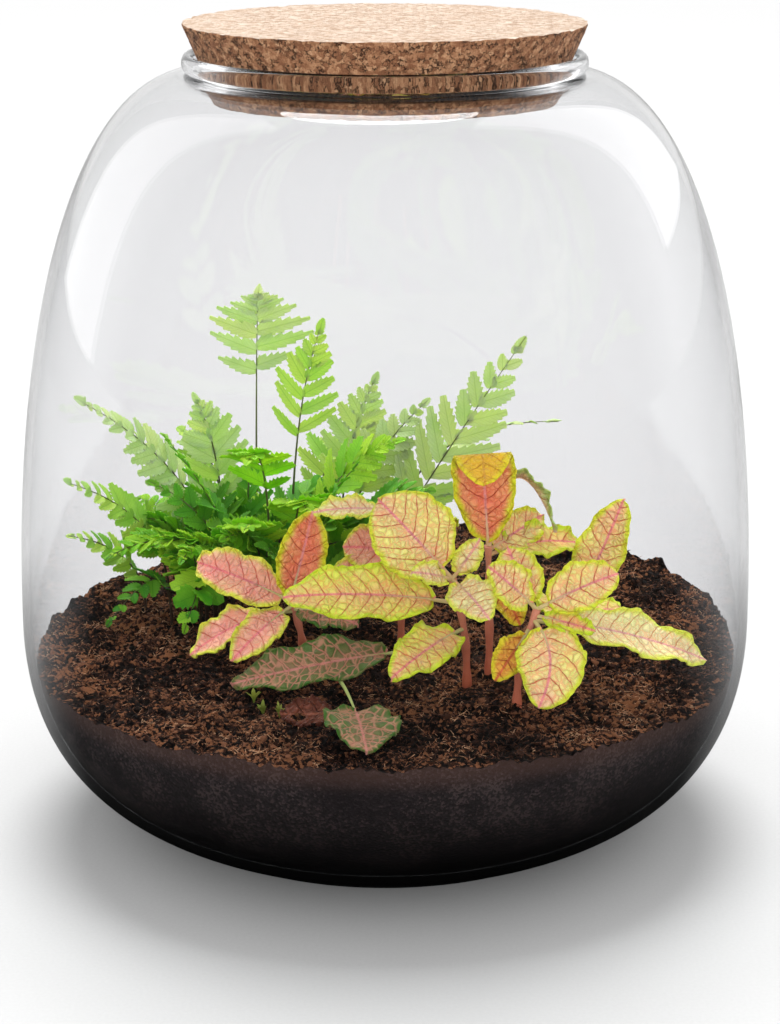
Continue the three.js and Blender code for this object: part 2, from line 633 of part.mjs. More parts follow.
const stems = Object.values(NERVE_PLANTS).map(({ stem }) => stem);
const holes = [
  ...Object.values(FRONDS).map(({ root }) => stemHole(...root, FROND_RIB_HALF_WIDTH + 3 * CLEARANCE)),
  ...stems.map(({ root }) => stemHole(...root, STEM_THICKNESS / 2 + 2 * CLEARANCE)),
];
const soil = holes.reduce((ground, hole) => ground.subtract(hole), soilSolid());
garden.add(named('potting_soil', geometryFromSolid(soil), SOIL));
const fallenLeaf = leafSolid(vector(FALLEN_LEAF_FOOT), FALLEN_LEAF);
garden.add(named('fallen_leaf', geometryFromSolid(fallenLeaf), DEAD_LEAF));

for (const [name, frond] of Object.entries(FRONDS)) {
  garden.add(named(name, geometryFromSolid(frondSolid(frond)), FERN_GREEN));
}
for (const [name, plant] of Object.entries(NERVE_PLANTS)) {
  garden.add(named(name, geometryFromSolid(leafyStemSolid(plant)), NERVE_LEAF));
}

export default garden;
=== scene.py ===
"""Dresses a planted jar garden: a round glass jar with a tapered cork stopper, dark potting soil,
a fern clump and a group of nerve plants with netted leaves.

Metres, +Z up, with the origin at the centre of the jar's foot. The sizes that the solids already
have are repeated here in millimetres, so that each finer piece keeps their form.
"""

import functools
import logging
import math
import random
from collections.abc import Callable, Iterable, Sequence
from dataclasses import dataclass, replace
from enum import Enum

import bmesh
import bpy
from bmesh.types import BMEdge, BMesh, BMFace, BMVert
from bpy.types import ID, Material, Node, NodeSocket, NodeTree, Object, World
from mathutils import Matrix, Quaternion, Vector, noise

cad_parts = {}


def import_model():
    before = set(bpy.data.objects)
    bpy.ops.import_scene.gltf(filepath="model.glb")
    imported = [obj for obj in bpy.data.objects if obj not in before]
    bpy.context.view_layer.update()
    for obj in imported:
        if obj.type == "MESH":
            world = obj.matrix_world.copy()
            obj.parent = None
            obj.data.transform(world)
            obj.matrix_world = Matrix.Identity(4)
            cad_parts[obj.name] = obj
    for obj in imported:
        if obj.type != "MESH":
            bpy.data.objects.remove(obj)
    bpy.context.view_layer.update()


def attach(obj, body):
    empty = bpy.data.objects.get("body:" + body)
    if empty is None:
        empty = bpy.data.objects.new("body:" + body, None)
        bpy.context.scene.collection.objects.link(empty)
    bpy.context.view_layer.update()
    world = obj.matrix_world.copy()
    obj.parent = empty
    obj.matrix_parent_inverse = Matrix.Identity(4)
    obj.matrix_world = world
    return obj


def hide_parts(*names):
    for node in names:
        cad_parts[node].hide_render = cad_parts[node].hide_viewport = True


LOG = logging.getLogger("jar_garden")
BODY = "root"
MM = 0.001
UP = Vector((0, 0, 1))
UV_SPAN = 100.0
VEIN_SLANT = 0.55
VEIN_CURVE = 0.04
VEIN_GAP = 4.6
SHARP_ANGLE = math.radians(50)
SMOOTH = {"interpolation_type": "SMOOTHSTEP"}

Pair = tuple[float, float]
Triple = tuple[float, float, float]
Placement = Callable[[float, float], Vector]
Marks = Callable[[float, float], tuple[Pair, Pair]]


# Colour and shader nodes


def linear(hex_colour: str) -> tuple[float, float, float, float]:
    """Turns an sRGB colour into the linear one that a shader takes.

    Args:
        hex_colour: Six hex digits, without a sign before them.

    Returns:
        Linear red, green and blue, and a full alpha.
    """
    parts = [int(hex_colour[i : i + 2], 16) / 255 for i in (0, 2, 4)]
    red, green, blue = (p / 12.92 if p <= 0.04045 else ((p + 0.055) / 1.055) ** 2.4 for p in parts)
    return red, green, blue, 1.0


def add_node(tree: NodeTree, kind: str, inputs: dict | tuple = (), **settings: object) -> Node:
    """Adds a shader node with its settings and links.

    Args:
        tree: The node tree of a material or the world.
        kind: The node's type, without the word ShaderNode before it.
        inputs: Values, or nodes and sockets to plug in, in order or by the input's name or number.
            A node stands for the first of its outputs that is in use.
        **settings: The node's other settings.

    Returns:
        The new node.
    """
    node = tree.nodes.new("ShaderNode" + kind)
    for name, setting in settings.items():
        setattr(node, name, setting)
    for key, value in inputs.items() if isinstance(inputs, dict) else enumerate(inputs):
        if isinstance(value, Node):
            value = next(socket for socket in value.outputs if socket.enabled)
        if isinstance(value, NodeSocket):
            tree.links.new(node.inputs[key], value)
        else:
            node.inputs[key].default_value = value
    return node


def clear_nodes(owner: Material | World) -> Callable[..., Node]:
    """Empties the node tree of a material or of the world.

    Args:
        owner: The material or the world.

    Returns:
        The function that adds a node to it.
    """
    owner.use_nodes = True
    owner.node_tree.nodes.clear()
    return functools.partial(add_node, owner.node_tree)


def new_material(name: str) -> tuple[Material, Callable[..., Node]]:
    """Makes a material of that name without nodes, and the function that adds nodes to it."""
    material = bpy.data.materials.new(name)
    return material, clear_nodes(material)


def set_ramp(node: Node, stops: Iterable[tuple[float, str]]) -> None:
    """Gives a colour ramp its stops.

    Args:
        node: The ramp.
        stops: Pairs of a place and a colour in sRGB hex, from low to high.
    """
    elements = node.color_ramp.elements
    for i, (place, hex_colour) in enumerate(stops):
        element = elements[i] if i < len(elements) else elements.new(place)
        element.position = place
        element.color = linear(hex_colour)


# Finishes


@functools.cache
def material_of(finish: "Finish") -> Material:
    """The material of a finish, made the first time that it is asked for."""
    return finish.build()


class Finish:
    """A real material that knows how to make its shader."""

    def build(self) -> Material:
        """Makes the material."""
        raise NotImplementedError


@dataclass(frozen=True)
class ClearGlass(Finish):
    """Soda glass, blown and fire polished: clear and mirror smooth, with painted shade that greys it where
    it is seen edge on.
    """

    tint: str = "F5F5F6"
    edge_on_shade: str = "DCDFDF"
    ior: float = 1.42
    shade_tint: str = "F8F9F9"

    def build(self) -> Material:
        """Makes glass that bends what is seen and lets the light of the studio in.

        Returns:
            The material.
        """
        material, add = new_material("blown_soda_glass")
        # Faint unevenness of blown glass, some 40 mm from wave to wave, moves the mirrored lamps a little
        place = add("TexCoord").outputs["Object"]
        waves = add("TexNoise", {"Scale": 25.0, "Detail": 1.0, "Vector": place})
        bump = add("Bump", {"Strength": 0.05, "Distance": 0.002, "Height": waves})
        # Painted shade: the glass's colour turns greyer where it is seen edge on
        facing = add("LayerWeight", {"Blend": 0.5})
        grazing = add("Math", (facing.outputs["Facing"], 5.0), operation="POWER")
        tint = add("Mix", {0: grazing, 6: linear(self.tint), 7: linear(self.edge_on_shade)}, data_type="RGBA")
        glass = add("BsdfPrincipled", {
            "Roughness": 0.0, "IOR": self.ior, "Transmission Weight": 1.0, "Base Color": tint,
            "Normal": bump,
        })
        clear = add("BsdfTransparent", {"Color": linear(self.shade_tint)})
        path = add("LightPath")
        unseen = add("Math", (
            path.outputs["Is Shadow Ray"], path.outputs["Is Diffuse Ray"],
        ), operation="MAXIMUM")
        mixed = add("MixShader", (unseen, glass, clear))
        add("OutputMaterial", {"Surface": mixed})
        return material


@dataclass(frozen=True)
class PressedCork(Finish):
    """Cork granules pressed with glue: grains of several browns with fine dark cracks between them."""

    name: str
    tones: tuple[str, str, str, str]
    crack: str
    grain: float = 1.3 * MM
    crack_strength: float = 0.85
    mottle: float = 0.7

    def build(self) -> Material:
        """Makes the granular cork shader.

        Returns:
            The material.
        """
        material, add = new_material(self.name)
        place = add("TexCoord").outputs["Object"]
        wobble = add("TexNoise", {"Scale": 900.0, "Detail": 3.0, "Roughness": 0.7, "Vector": place})
        moved = add("VectorMath", (
            wobble.outputs["Color"], (0.0026,) * 3, place,
        ), operation="MULTIPLY_ADD")
        grains = add("TexVoronoi", {"Scale": 1 / self.grain, "Vector": moved})
        grain_tone = add("SeparateColor", (grains.outputs["Color"],))
        fine = add("TexNoise", {"Scale": 1300.0, "Detail": 4.0, "Roughness": 0.8, "Vector": place})
        tone = add("Mix", {0: self.mottle, 2: grain_tone, 3: fine}, data_type="FLOAT")
        colour = add("ValToRGB", (tone,))
        set_ramp(colour, zip((0.2, 0.42, 0.6, 0.8), self.tones))
        seams = add("TexVoronoi", {"Scale": 1 / self.grain, "Vector": moved}, feature="DISTANCE_TO_EDGE")
        patches = add("TexNoise", {"Scale": 420.0, "Detail": 2.0, "Vector": place})
        # The seams open only where the patches noise is high
        width = add("MapRange", (patches, 0.4, 0.7, 0.0, 0.17))
        inside = add("Math", (width, seams), operation="SUBTRACT")
        cracks = add("MapRange", (inside, 0.0, 0.04, 0.0, self.crack_strength), **SMOOTH)
        dark = add("Mix", {0: cracks, 6: colour, 7: linear(self.crack)}, data_type="RGBA")
        height = add("Math", (cracks, -1.0, fine), operation="MULTIPLY_ADD")
        bump = add("Bump", {"Strength": 0.8, "Distance": 0.0005, "Height": height})
        cork = add("BsdfPrincipled", {
            "Roughness": 0.85, "Specular IOR Level": 0.3, "Base Color": dark, "Normal": bump,
        })
        add("OutputMaterial", {"Surface": cork})
        return material


@dataclass(frozen=True)
class PeatSoil(Finish):
    """Damp peat: matt, crumbly, in browns that vary from crumb to crumb, near black in the hollows."""

    name: str
    tones: tuple[str, str, str, str]
    grain: float = 1.2 * MM
    roughness: float = 0.9
    relief: float = 0.001
    crumb_share: float = 0.45
    foot_shade: float = 1.0
    foot_from: float = 7 * MM
    foot_to: float = 54 * MM
    band: float = 0.0
    band_from: float = 46 * MM
    band_tone: str = "5E4034"
    damp_scale: float = 48.0
    damp_share: float = 0.7
    stops: tuple[float, ...] = (0.66, 0.82, 0.96, 1.0)

    def build(self) -> Material:
        """Makes the soil shader.

        Returns:
            The material.
        """
        material, add = new_material(self.name)
        place = add("TexCoord").outputs["Object"]
        fine = add(
            "TexNoise", {"Scale": 0.8 / self.grain, "Detail": 4.0, "Roughness": 0.75, "Vector": place}
        )
        moved = add("VectorMath", (
            fine.outputs["Color"], (1.6 * self.grain,) * 3, place,
        ), operation="MULTIPLY_ADD")
        height = add("SeparateXYZ", (place,))
        crumbs = add("TexVoronoi", {"Scale": 1 / self.grain, "Vector": moved})
        crumb_tone = add("SeparateColor", (crumbs.outputs["Color"],))
        damp = add("TexNoise", {"Scale": self.damp_scale, "Detail": 3.0, "Vector": place})
        mixed = add("Mix", {0: self.crumb_share, 2: fine, 3: crumb_tone}, data_type="FLOAT")
        tone = add("Math", (damp, self.damp_share, mixed), operation="MULTIPLY_ADD")
        # Painted light: just under the soil line the peat against the glass is painted lighter and browner
        soil_line_light = add("MapRange", (height.outputs[2], self.band_from, self.foot_to, 0.0, self.band), **SMOOTH)
        colour = add("ValToRGB", (tone,))
        set_ramp(colour, zip(self.stops, self.tones))
        browned = add("Mix", {0: soil_line_light, 6: colour, 7: linear(self.band_tone)}, data_type="RGBA")
        # Painted shade: the peat is painted darker towards the jar's foot
        shade = add("MapRange", (
            height.outputs[2], self.foot_from, self.foot_to, self.foot_shade, 1.0,
        ), **SMOOTH)
        shaded = add("VectorMath", {0: browned, "Scale": shade}, operation="SCALE")
        level = add("Math", (fine, crumbs), operation="SUBTRACT")
        bump = add("Bump", {"Strength": 1.0, "Distance": self.relief, "Height": level})
        soil = add("BsdfPrincipled", {
            "Roughness": self.roughness, "Specular IOR Level": 0.25, "Base Color": shaded, "Normal": bump,
        })
        add("OutputMaterial", {"Surface": soil})
        return material


@dataclass(frozen=True)
class NetLeaf(Finish):
    """Nerve plant leaf: soft and quilted, with a net of red or pink veins and a yellow-green edge."""

    name: str
    margin: str
    cell: str
    centre: str
    vein: str
    midrib: str
    vein_width: float = 0.22
    net: float = 1.9
    side_gap: float = VEIN_GAP
    margin_width: float = 1.35
    net_strength: float = 0.42

    def build(self) -> Material:
        """Makes the veined leaf shader. Its distances are millimetres along and across the blade.

        Returns:
            The material.
        """
        material, add = new_material(self.name)
        blade = add("UVMap", uv_map="blade")
        edge = add("UVMap", uv_map="edge")
        plan = add("VectorMath", (blade, (UV_SPAN, UV_SPAN, 0.0)), operation="MULTIPLY")
        wobble = add("TexNoise", {"Scale": 0.35, "Detail": 2.0, "Vector": plan})
        moved = add("VectorMath", (
            wobble.outputs["Color"], (1.8, 1.8, 0.0), plan,
        ), operation="MULTIPLY_ADD")
        plain = add("SeparateXYZ", (plan,))
        bent = add("SeparateXYZ", (moved,))
        across = add("Math", (plain,), operation="ABSOLUTE")
        slant = add("Math", (across, VEIN_CURVE, VEIN_SLANT), operation="MULTIPLY_ADD")
        reach = add("Math", (slant, across), operation="MULTIPLY")
        start = add("Math", (bent.outputs[1], reach), operation="SUBTRACT")
        side = add("Math", (start, self.side_gap / 2), operation="PINGPONG")
        side_line = add("MapRange", (
            side, self.vein_width * 0.3, self.vein_width * 1.6, 0.9, 0.0,
        ), **SMOOTH)
        cells = add("TexVoronoi", {"Scale": 1 / self.net, "Vector": moved}, feature="DISTANCE_TO_EDGE")
        net_line = add("MapRange", (
            cells, self.vein_width * 0.15 / self.net, self.vein_width * 1.3 / self.net, self.net_strength,
            0.0,
        ), **SMOOTH)
        lines = add("Math", (side_line, net_line), operation="MAXIMUM")
        rib_line = add("MapRange", (across, 0.15, 0.6, 0.9, 0.0), **SMOOTH)
        rim = add("SeparateXYZ", (edge,))
        rim_mm = add("Math", (rim, UV_SPAN), operation="MULTIPLY")
        uneven = add("Math", (wobble, -1.6, rim_mm), operation="MULTIPLY_ADD")
        margin = add("MapRange", (
            uneven, self.margin_width * 0.3 - 0.8, self.margin_width * 1.7 - 0.8, 1.0, 0.0,
        ), **SMOOTH)
        inner = add("MapRange", (across, 0.5, 6.5, 1.0, 0.0), **SMOOTH)
        blotch = add("TexNoise", {"Scale": 0.12, "Detail": 2.0, "Vector": plan})
        shifted = add("MapRange", (blotch, 0.35, 0.75, -0.15, 0.5))
        warmth = add("Math", (inner, 0.5, shifted), operation="MULTIPLY_ADD", use_clamp=True)
        inside = add("Mix", {0: warmth, 6: linear(self.cell), 7: linear(self.centre)}, data_type="RGBA")
        base = add("Mix", {0: margin, 6: inside, 7: linear(self.margin)}, data_type="RGBA")
        fade = add("MapRange", (margin, 0.0, 1.0, 1.0, 0.3))
        line_share = add("Math", (lines, fade), operation="MULTIPLY")
        veined = add("Mix", {0: line_share, 6: base, 7: linear(self.vein)}, data_type="RGBA")
        ribbed = add("Mix", {0: rib_line, 6: veined, 7: linear(self.midrib)}, data_type="RGBA")
        bulge = add("MapRange", (cells, 0.0, 0.3, 0.0, 1.0), **SMOOTH)
        sunk = add("Math", (side_line, -1.2, bulge), operation="MULTIPLY_ADD")
        bump = add("Bump", {"Strength": 0.9, "Distance": 0.0006, "Height": sunk})
        leaf = add("BsdfPrincipled", {
            "Roughness": 0.5, "Specular IOR Level": 0.35, "Subsurface Weight": 0.35,
            "Subsurface Radius": (1.0, 0.8, 0.4), "Subsurface Scale": 0.001, "Base Color": ribbed,
            "Normal": bump,
        })
        add("OutputMaterial", {"Surface": leaf})
        return material


@dataclass(frozen=True)
class FernLeaflet(Finish):
    """Fern leaflet: thin, matt, glowing green, with a fold along its middle and fine side veins."""

    name: str
    low: str
    high: str
    young: str
    vein: str
    low_to: float = 58 * MM
    high_from: float = 110 * MM

    def build(self) -> Material:
        """Makes the leaflet shader, from the low tone inside the clump to the high one at its tips; the
        darker low tone is painted shade.

        Returns:
            The material.
        """
        material, add = new_material(self.name)
        place = add("TexCoord").outputs["Object"]
        blade = add("UVMap", uv_map="blade")
        edge = add("UVMap", uv_map="edge")
        plan = add("VectorMath", (blade, (UV_SPAN, UV_SPAN, 0.0)), operation="MULTIPLY")
        axes = add("SeparateXYZ", (plan,))
        across = add("Math", (axes,), operation="ABSOLUTE")
        start = add("Math", (across, -0.9, axes.outputs[1]), operation="MULTIPLY_ADD")
        side = add("Math", (start, 0.6), operation="PINGPONG")
        side_line = add("MapRange", (side, 0.05, 0.3, 0.2, 0.0))
        rib_line = add("MapRange", (across, 0.05, 0.25, 0.45, 0.0))
        lines = add("Math", (side_line, rib_line), operation="MAXIMUM")
        blotch = add("TexNoise", {"Scale": 110.0, "Detail": 3.0, "Vector": place})
        height = add("SeparateXYZ", (place,))
        # Painted shade: leaflets lower in the clump are darker, those towards the tips lighter
        level = add("MapRange", (height.outputs[2], self.low_to, self.high_from, -0.1, 0.85))
        tone = add("MapRange", (blotch, 0.3, 0.7, -0.25, 0.3))
        mixed = add("Math", (level, tone), operation="ADD", use_clamp=True)
        green = add("Mix", {0: mixed, 6: linear(self.low), 7: linear(self.high)}, data_type="RGBA")
        # Every leaflet has an age of its own, which turns some of them yellower
        age = add("SeparateXYZ", (edge,))
        youth = add("MapRange", (age.outputs[1], 0.35, 1.0, 0.0, 0.8))
        varied = add("Mix", {0: youth, 6: green, 7: linear(self.young)}, data_type="RGBA")
        veined = add("Mix", {0: lines, 6: varied, 7: linear(self.vein)}, data_type="RGBA")
        bump = add("Bump", {"Strength": 0.5, "Distance": 0.0003, "Height": lines}, invert=True)
        leaf = add("BsdfPrincipled", {
            "Roughness": 0.55, "Specular IOR Level": 0.3, "Subsurface Weight": 0.6,
            "Subsurface Radius": (0.8, 1.0, 0.3), "Subsurface Scale": 0.0012, "Base Color": veined,
            "Normal": bump,
        })
        add("OutputMaterial", {"Surface": leaf})
        return material


@dataclass(frozen=True)
class Stalk(Finish):
    """A living stem: smooth and slightly shiny, changing colour from its foot upwards."""

    name: str
    low: str
    high: str
    from_height: float = 58 * MM
    to_height: float = 110 * MM

    def build(self) -> Material:
        """Makes the stem shader.

        Returns:
            The material.
        """
        material, add = new_material(self.name)
        place = add("TexCoord").outputs["Object"]
        height = add("SeparateXYZ", (place,))
        streaks = add("TexNoise", {"Scale": 350.0, "Detail": 2.0, "Vector": place})
        level = add("MapRange", (height.outputs[2], self.from_height, self.to_height, -0.2, 0.8))
        tone = add("Math", (streaks, 0.4, level), operation="MULTIPLY_ADD", use_clamp=True)
        colour = add("Mix", {0: tone, 6: linear(self.low), 7: linear(self.high)}, data_type="RGBA")
        bump = add("Bump", {"Strength": 0.3, "Distance": 0.0002, "Height": streaks})
        stem = add("BsdfPrincipled", {
            "Roughness": 0.45, "Specular IOR Level": 0.4, "Base Color": colour, "Normal": bump,
        })
        add("OutputMaterial", {"Surface": stem})
        return material


@dataclass(frozen=True)
class StudioPaper(Finish):
    """Pale background paper: matt, almost without texture, and painted dark where the glass in front
    mirrors it.
    """

    mirrored: str = "1C1C1C"
    mirror_dark_from: float = -0.02
    mirror_dark_to: float = 0.26

    def build(self) -> Material:
        """Makes the floor's shader, with a painted dark reflection where the glass mirrors it in front.

        Returns:
            The material.
        """
        material, add = new_material("studio_paper")
        place = add("TexCoord").outputs["Object"]
        tooth = add("TexNoise", {"Scale": 900.0, "Vector": place})
        tone = add("ValToRGB", (tooth,))
        set_ramp(tone, [(0.0, "BABABA"), (1.0, "C2C2C2")])
        path = add("LightPath")
        spot = add("SeparateXYZ", (place,))
        # Painted reflection: as the glass mirrors it, the floor in front shows a dark colour instead of
        # its own
        mirror_dimmed = add("MapRange", (spot.outputs[1], self.mirror_dark_from, self.mirror_dark_to, 1.0, 0.0))
        in_glass = add(
            "Math", (path.outputs["Glossy Depth"], mirror_dimmed), operation="MULTIPLY", use_clamp=True
        )
        seen = add("Mix", {0: in_glass, 6: tone, 7: linear(self.mirrored)}, data_type="RGBA")
        paper = add("BsdfPrincipled", {"Roughness": 0.95, "Specular IOR Level": 0.1, "Base Color": seen})
        add("OutputMaterial", {"Surface": paper})
        return material


class LeafLook(Enum):
    """The nerve plant's leaves, from young and pale to old and green."""

    PALE = NetLeaf("nerve_leaf_pale", "DCE83C", "FFF08E", "FFC4A2", "EA6652", "F88E94", 0.17)
    CREAM = NetLeaf("nerve_leaf_cream", "E2EC54", "FFF6AC", "FFDCAE", "EE8A60", "F8A8A4", 0.15)
    PINK = NetLeaf(
        "nerve_leaf_pink", "DCE44A", "FFC49C", "FFA49C", "F06A58", "FC868A", 0.15, net_strength=0.3
    )
    LIME = NetLeaf("nerve_leaf_lime", "CCE430", "E6EC60", "FFBE94", "EA6C50", "F6888A", 0.17, 2.2, 4.8)
    # Old leaves are greener; their dark colours are also painted shade for the low leaves under the others
    OLD = NetLeaf(
        "nerve_leaf_old", "427026", "587238", "967658", "D08E78", "D4887E", 0.3, 2.8, 4.4, 0.9, 0.7
    )
    ORANGE = NetLeaf("nerve_leaf_orange", "E6D832", "FCC850", "F0A448", "B44420", "DC6C40", 0.2)
    RED = NetLeaf(
        "nerve_leaf_red", "DCE22A", "FFB47C", "FF7C66", "CC4832", "FC9A98", 0.16, margin_width=1.7
    )
    GOLD = NetLeaf(
        "nerve_leaf_gold", "F0DC2C", "F8D03A", "F4B834", "DE942C", "E8AC3C", 0.16, net_strength=0.3
    )
    GREY = NetLeaf("nerve_leaf_grey", "A4BC68", "C8CC90", "DCBC9C", "C4907A", "D4B0A4", 0.16)
    DEAD = NetLeaf("nerve_leaf_dead", "5A2C1E", "703A28", "804632", "3C1C10", "90523C", 0.25)


class FernLook(Enum):
    """The fern's leaflets in lit and shaded copies: paler for fronds in the light, deeper green for fronds
    in shade.
    """

    PALE = FernLeaflet("fern_leaflet_pale", "86B058", "B8D498", "C8DC92", "86A85C")
    FRESH = FernLeaflet("fern_leaflet_fresh", "66A434", "A4CE60", "BEDC6A", "64983A")
    BRIGHT = FernLeaflet("fern_leaflet_bright", "3C8A16", "8CCC2C", "B4E038", "3E861A")
    DEEP = FernLeaflet("fern_leaflet_deep", "2A7014", "66B02E", "90CC3A", "267012")


# Pressed cork: matt warm grains with dark seams on the turned side; the top is a copy with closer seams,
# painted paler as painted light from above
CORK_SIDE = PressedCork("pressed_cork_side", ("603C26", "8A5C40", "AC7E5C", "D6AC86"), "1C0F08")
CORK_TOP = PressedCork(
    "pressed_cork_top", ("AC9078", "C2AA96", "CCB8A6", "D6C6B6"), "8E6E54", 1.6 * MM, 0.4, 0.5
)
# Damp peat: black hollows and red-brown crumbs and fibres on top, smooth dark grey behind the glass
SOIL_TOP = PeatSoil("peat_soil_top", ("040202", "160D09", "44281C", "94603F"), 1.0 * MM, relief=0.0012)
# Against the glass the side is painted lighter under the soil line and darker towards the foot: painted
# light and shade
SOIL_SIDE = PeatSoil(
    "peat_soil_against_glass", ("1F1819", "272021", "302829", "463A38"), 0.7 * MM, 0.8, 0.0002, 0.4, 0.0,
    band=0.35,
)
SOIL_CRUMB = PeatSoil("peat_crumbs", ("090402", "20120C", "4A2B1C", "80533A"), 2.4 * MM)
SOIL_FIBRE = PeatSoil("peat_fibres", ("361D12", "623E2C", "9A6A4A", "D4A680"), 2.5 * MM, 0.75, 0.0001)
# Living stems: faintly shiny, wiry and dark on the fern, fleshy and red on the nerve plants
FERN_STALK = Stalk("fern_stalk", "3A2A1E", "7E8A58", 60 * MM, 150 * MM)
NERVE_STEM = Stalk("nerve_plant_stem", "C46A4E", "E8A088", 58 * MM, 100 * MM)
NERVE_PETIOLE = Stalk("nerve_leaf_stalk", "B0C070", "ECBC98", 60 * MM, 110 * MM)
MOSS = Stalk("moss_sprig", "6E7E2C", "B4B84C", 56 * MM, 62 * MM)


# Shapes


@dataclass(frozen=True)
class Frame:
    """A place on a rib: its point, its direction, its right side and its upper face."""

    point: Vector
    along: Vector
    side: Vector
    up: Vector

    def at(self, across: float, forward: float = 0.0, rise: float = 0.0) -> Vector:
        """The point that lies so far to the right, forward and up from this place."""
        return self.point + self.side * across + self.along * forward + self.up * rise

    def ring(self, half_width: float, half_height: float) -> Matrix:
        """The transform that lays a unit circle across the rib."""
        columns = (self.side * half_width, self.up * half_height, self.along * half_width)
        return Matrix.Translation(self.point) @ Matrix(columns).transposed().to_4x4()


@dataclass(frozen=True)
class Rib:
    """A curved line that a blade or a stalk follows, with a right side that stays the same."""

    start: Vector
    handle: Vector
    end: Vector
    right: Vector

    def point(self, share: float) -> Vector:
        """The point at a share of the line."""
        back = 1 - share
        return self.start * back**2 + self.handle * (2 * back * share) + self.end * share**2

    def frame(self, share: float, roll: float = 0.0) -> Frame:
        """The frame at a share of the line.

        Args:
            share: From 0 at the start to 1 at the end.
            roll: How far the frame is turned about the line, in degrees.

        Returns:
            The frame there.
        """
        way = (self.handle - self.start) * (1 - share) + (self.end - self.handle) * share
        along = way.normalized()
        up = self.right.cross(along).normalized()
        up.rotate(Quaternion(along, math.radians(roll)))
        return Frame(self.point(share), along, along.cross(up), up)

    def length(self) -> float:
        """The length of the line, measured over short chords."""
        points = [self.point(i / 16) for i in range(17)]
        return sum((b - a).length for a, b in zip(points, points[1:]))


def drawn(draw: random.Random, span: Pair) -> float:
    """A random size: the least one, and up to so much more."""
    return span[0] + span[1] * draw.random()


def in_metres(place: Sequence[float]) -> Vector:
    """A place given in millimetres, in metres."""
    return Vector(place) * MM


def new_mesh() -> BMesh:
    """Starts a mesh with two maps for leaves.

    Returns:
        A mesh without faces. Its maps hold places on the blade and distances to its edge.
    """
    bm = bmesh.new()
    bm.loops.layers.uv.new("blade")
    bm.loops.layers.uv.new("edge")
    return bm


def draw_out(bm: BMesh, edges: Sequence[BMEdge]) -> tuple[list, list, list]:
    """Draws a ring of edges out into a new ring.

    Args:
        bm: The mesh.
        edges: The ring.

    Returns:
        The new ring's vertices and its edges, and the faces between the two rings.
    """
    grown = bmesh.ops.extrude_edge_only(bm, edges=edges)["geom"]
    verts = [part for part in grown if isinstance(part, BMVert)]
    faces = [part for part in grown if isinstance(part, BMFace)]
    ends = set(verts)
    lines = [part for part in grown if isinstance(part, BMEdge)]
    return verts, [line for line in lines if ends.issuperset(line.verts)], faces


def pour(patch: BMesh, whole: BMesh) -> None:
    """Moves a small mesh into a larger one, where it would be slower to build.

    Args:
        patch: The small mesh, which is used up.
        whole: The larger mesh.
    """
    mesh = bpy.data.meshes.new("patch")
    patch.to_mesh(mesh)
    patch.free()
    whole.from_mesh(mesh)
    bpy.data.meshes.remove(mesh)


def new_object(name: str, data: ID) -> Object:
    """Puts an object in the scene.

    Args:
        name: The object's name.
        data: Its mesh, lamp or camera.

    Returns:
        The object.
    """
    made = bpy.data.objects.new(name, data)
    bpy.context.scene.collection.objects.link(made)
    return made


def add_blade(
    bm: BMesh,
    size: tuple[int, int],
    place: Placement,
    marks: Marks,
    thickness: float,
    slots: tuple[int, int] = (0, 0),
    worn: Callable[[float, float], bool] | None = None,
) -> None:
    """Adds a thin closed blade, shaped from a grid.

    Args:
        bm: The mesh, with its two maps.
        size: Faces across the blade and along it.
        place: Gives the point for a place across, from -1 to 1, and along, from 0 to 1.
        marks: Gives the two maps' values for such a place.
        thickness: The blade's thickness, in metres.
        slots: Material slots of the upper face and of the underside.
        worn: Tells for a place on the grid whether the blade has worn through there.
    """
    patch = new_mesh()
    blade, edge = (patch.loops.layers.uv[name] for name in ("blade", "edge"))
    bmesh.ops.create_grid(patch, x_segments=size[0], y_segments=size[1], size=1.0)
    for face in patch.faces:
        face.smooth = True
        face.material_index = slots[1]
        for loop in face.loops:
            spot = loop.vert.co
            loop[blade].uv, loop[edge].uv = marks(spot.x, (spot.y + 1) / 2)
    if worn:
        gone = [face for face in patch.faces if worn(*face.calc_center_median().xy)]
        bmesh.ops.delete(patch, geom=gone, context="FACES")
    for vert in patch.verts:
        vert.co = place(vert.co.x, (vert.co.y + 1) / 2)
    bmesh.ops.remove_doubles(patch, verts=patch.verts[:], dist=2e-6)
    faces = patch.faces[:]
    for face in faces:
        face.normal_update()
    grown = bmesh.ops.extrude_face_region(patch, geom=faces, use_keep_orig=True)["geom"]
    for vert in (part for part in grown if isinstance(part, BMVert)):
        vert.normal_update()
        vert.co -= vert.normal * thickness
    bmesh.ops.recalc_face_normals(patch, faces=patch.faces[:])
    for face in faces:
        face.material_index = slots[0]
    pour(patch, bm)


def add_tube(bm: BMesh, stations: Sequence[tuple[Frame, float, float]], sides: int, slot: int) -> None:
    """Adds a closed tube through a row of frames.

    Args:
        bm: The mesh.
        stations: Frames, each with the tube's half width and half height there.
        sides: Sides of the tube.
        slot: Material slot.
    """
    patch = new_mesh()
    verts = bmesh.ops.create_circle(patch, segments=sides, radius=1.0)["verts"]
    edges = patch.edges[:]
    here = stations[0][0].ring(*stations[0][1:])
    bmesh.ops.transform(patch, matrix=here, verts=verts)
    bmesh.ops.contextual_create(patch, geom=edges)
    for frame, half_width, half_height in stations[1:]:
        verts, edges, _ = draw_out(patch, edges)
        there = frame.ring(half_width, half_height)
        bmesh.ops.transform(patch, matrix=there @ here.inverted(), verts=verts)
        here = there
    bmesh.ops.contextual_create(patch, geom=edges)
    for face in patch.faces:
        face.smooth = True
        face.material_index = slot
    bmesh.ops.recalc_face_normals(patch, faces=patch.faces[:])
    pour(patch, bm)


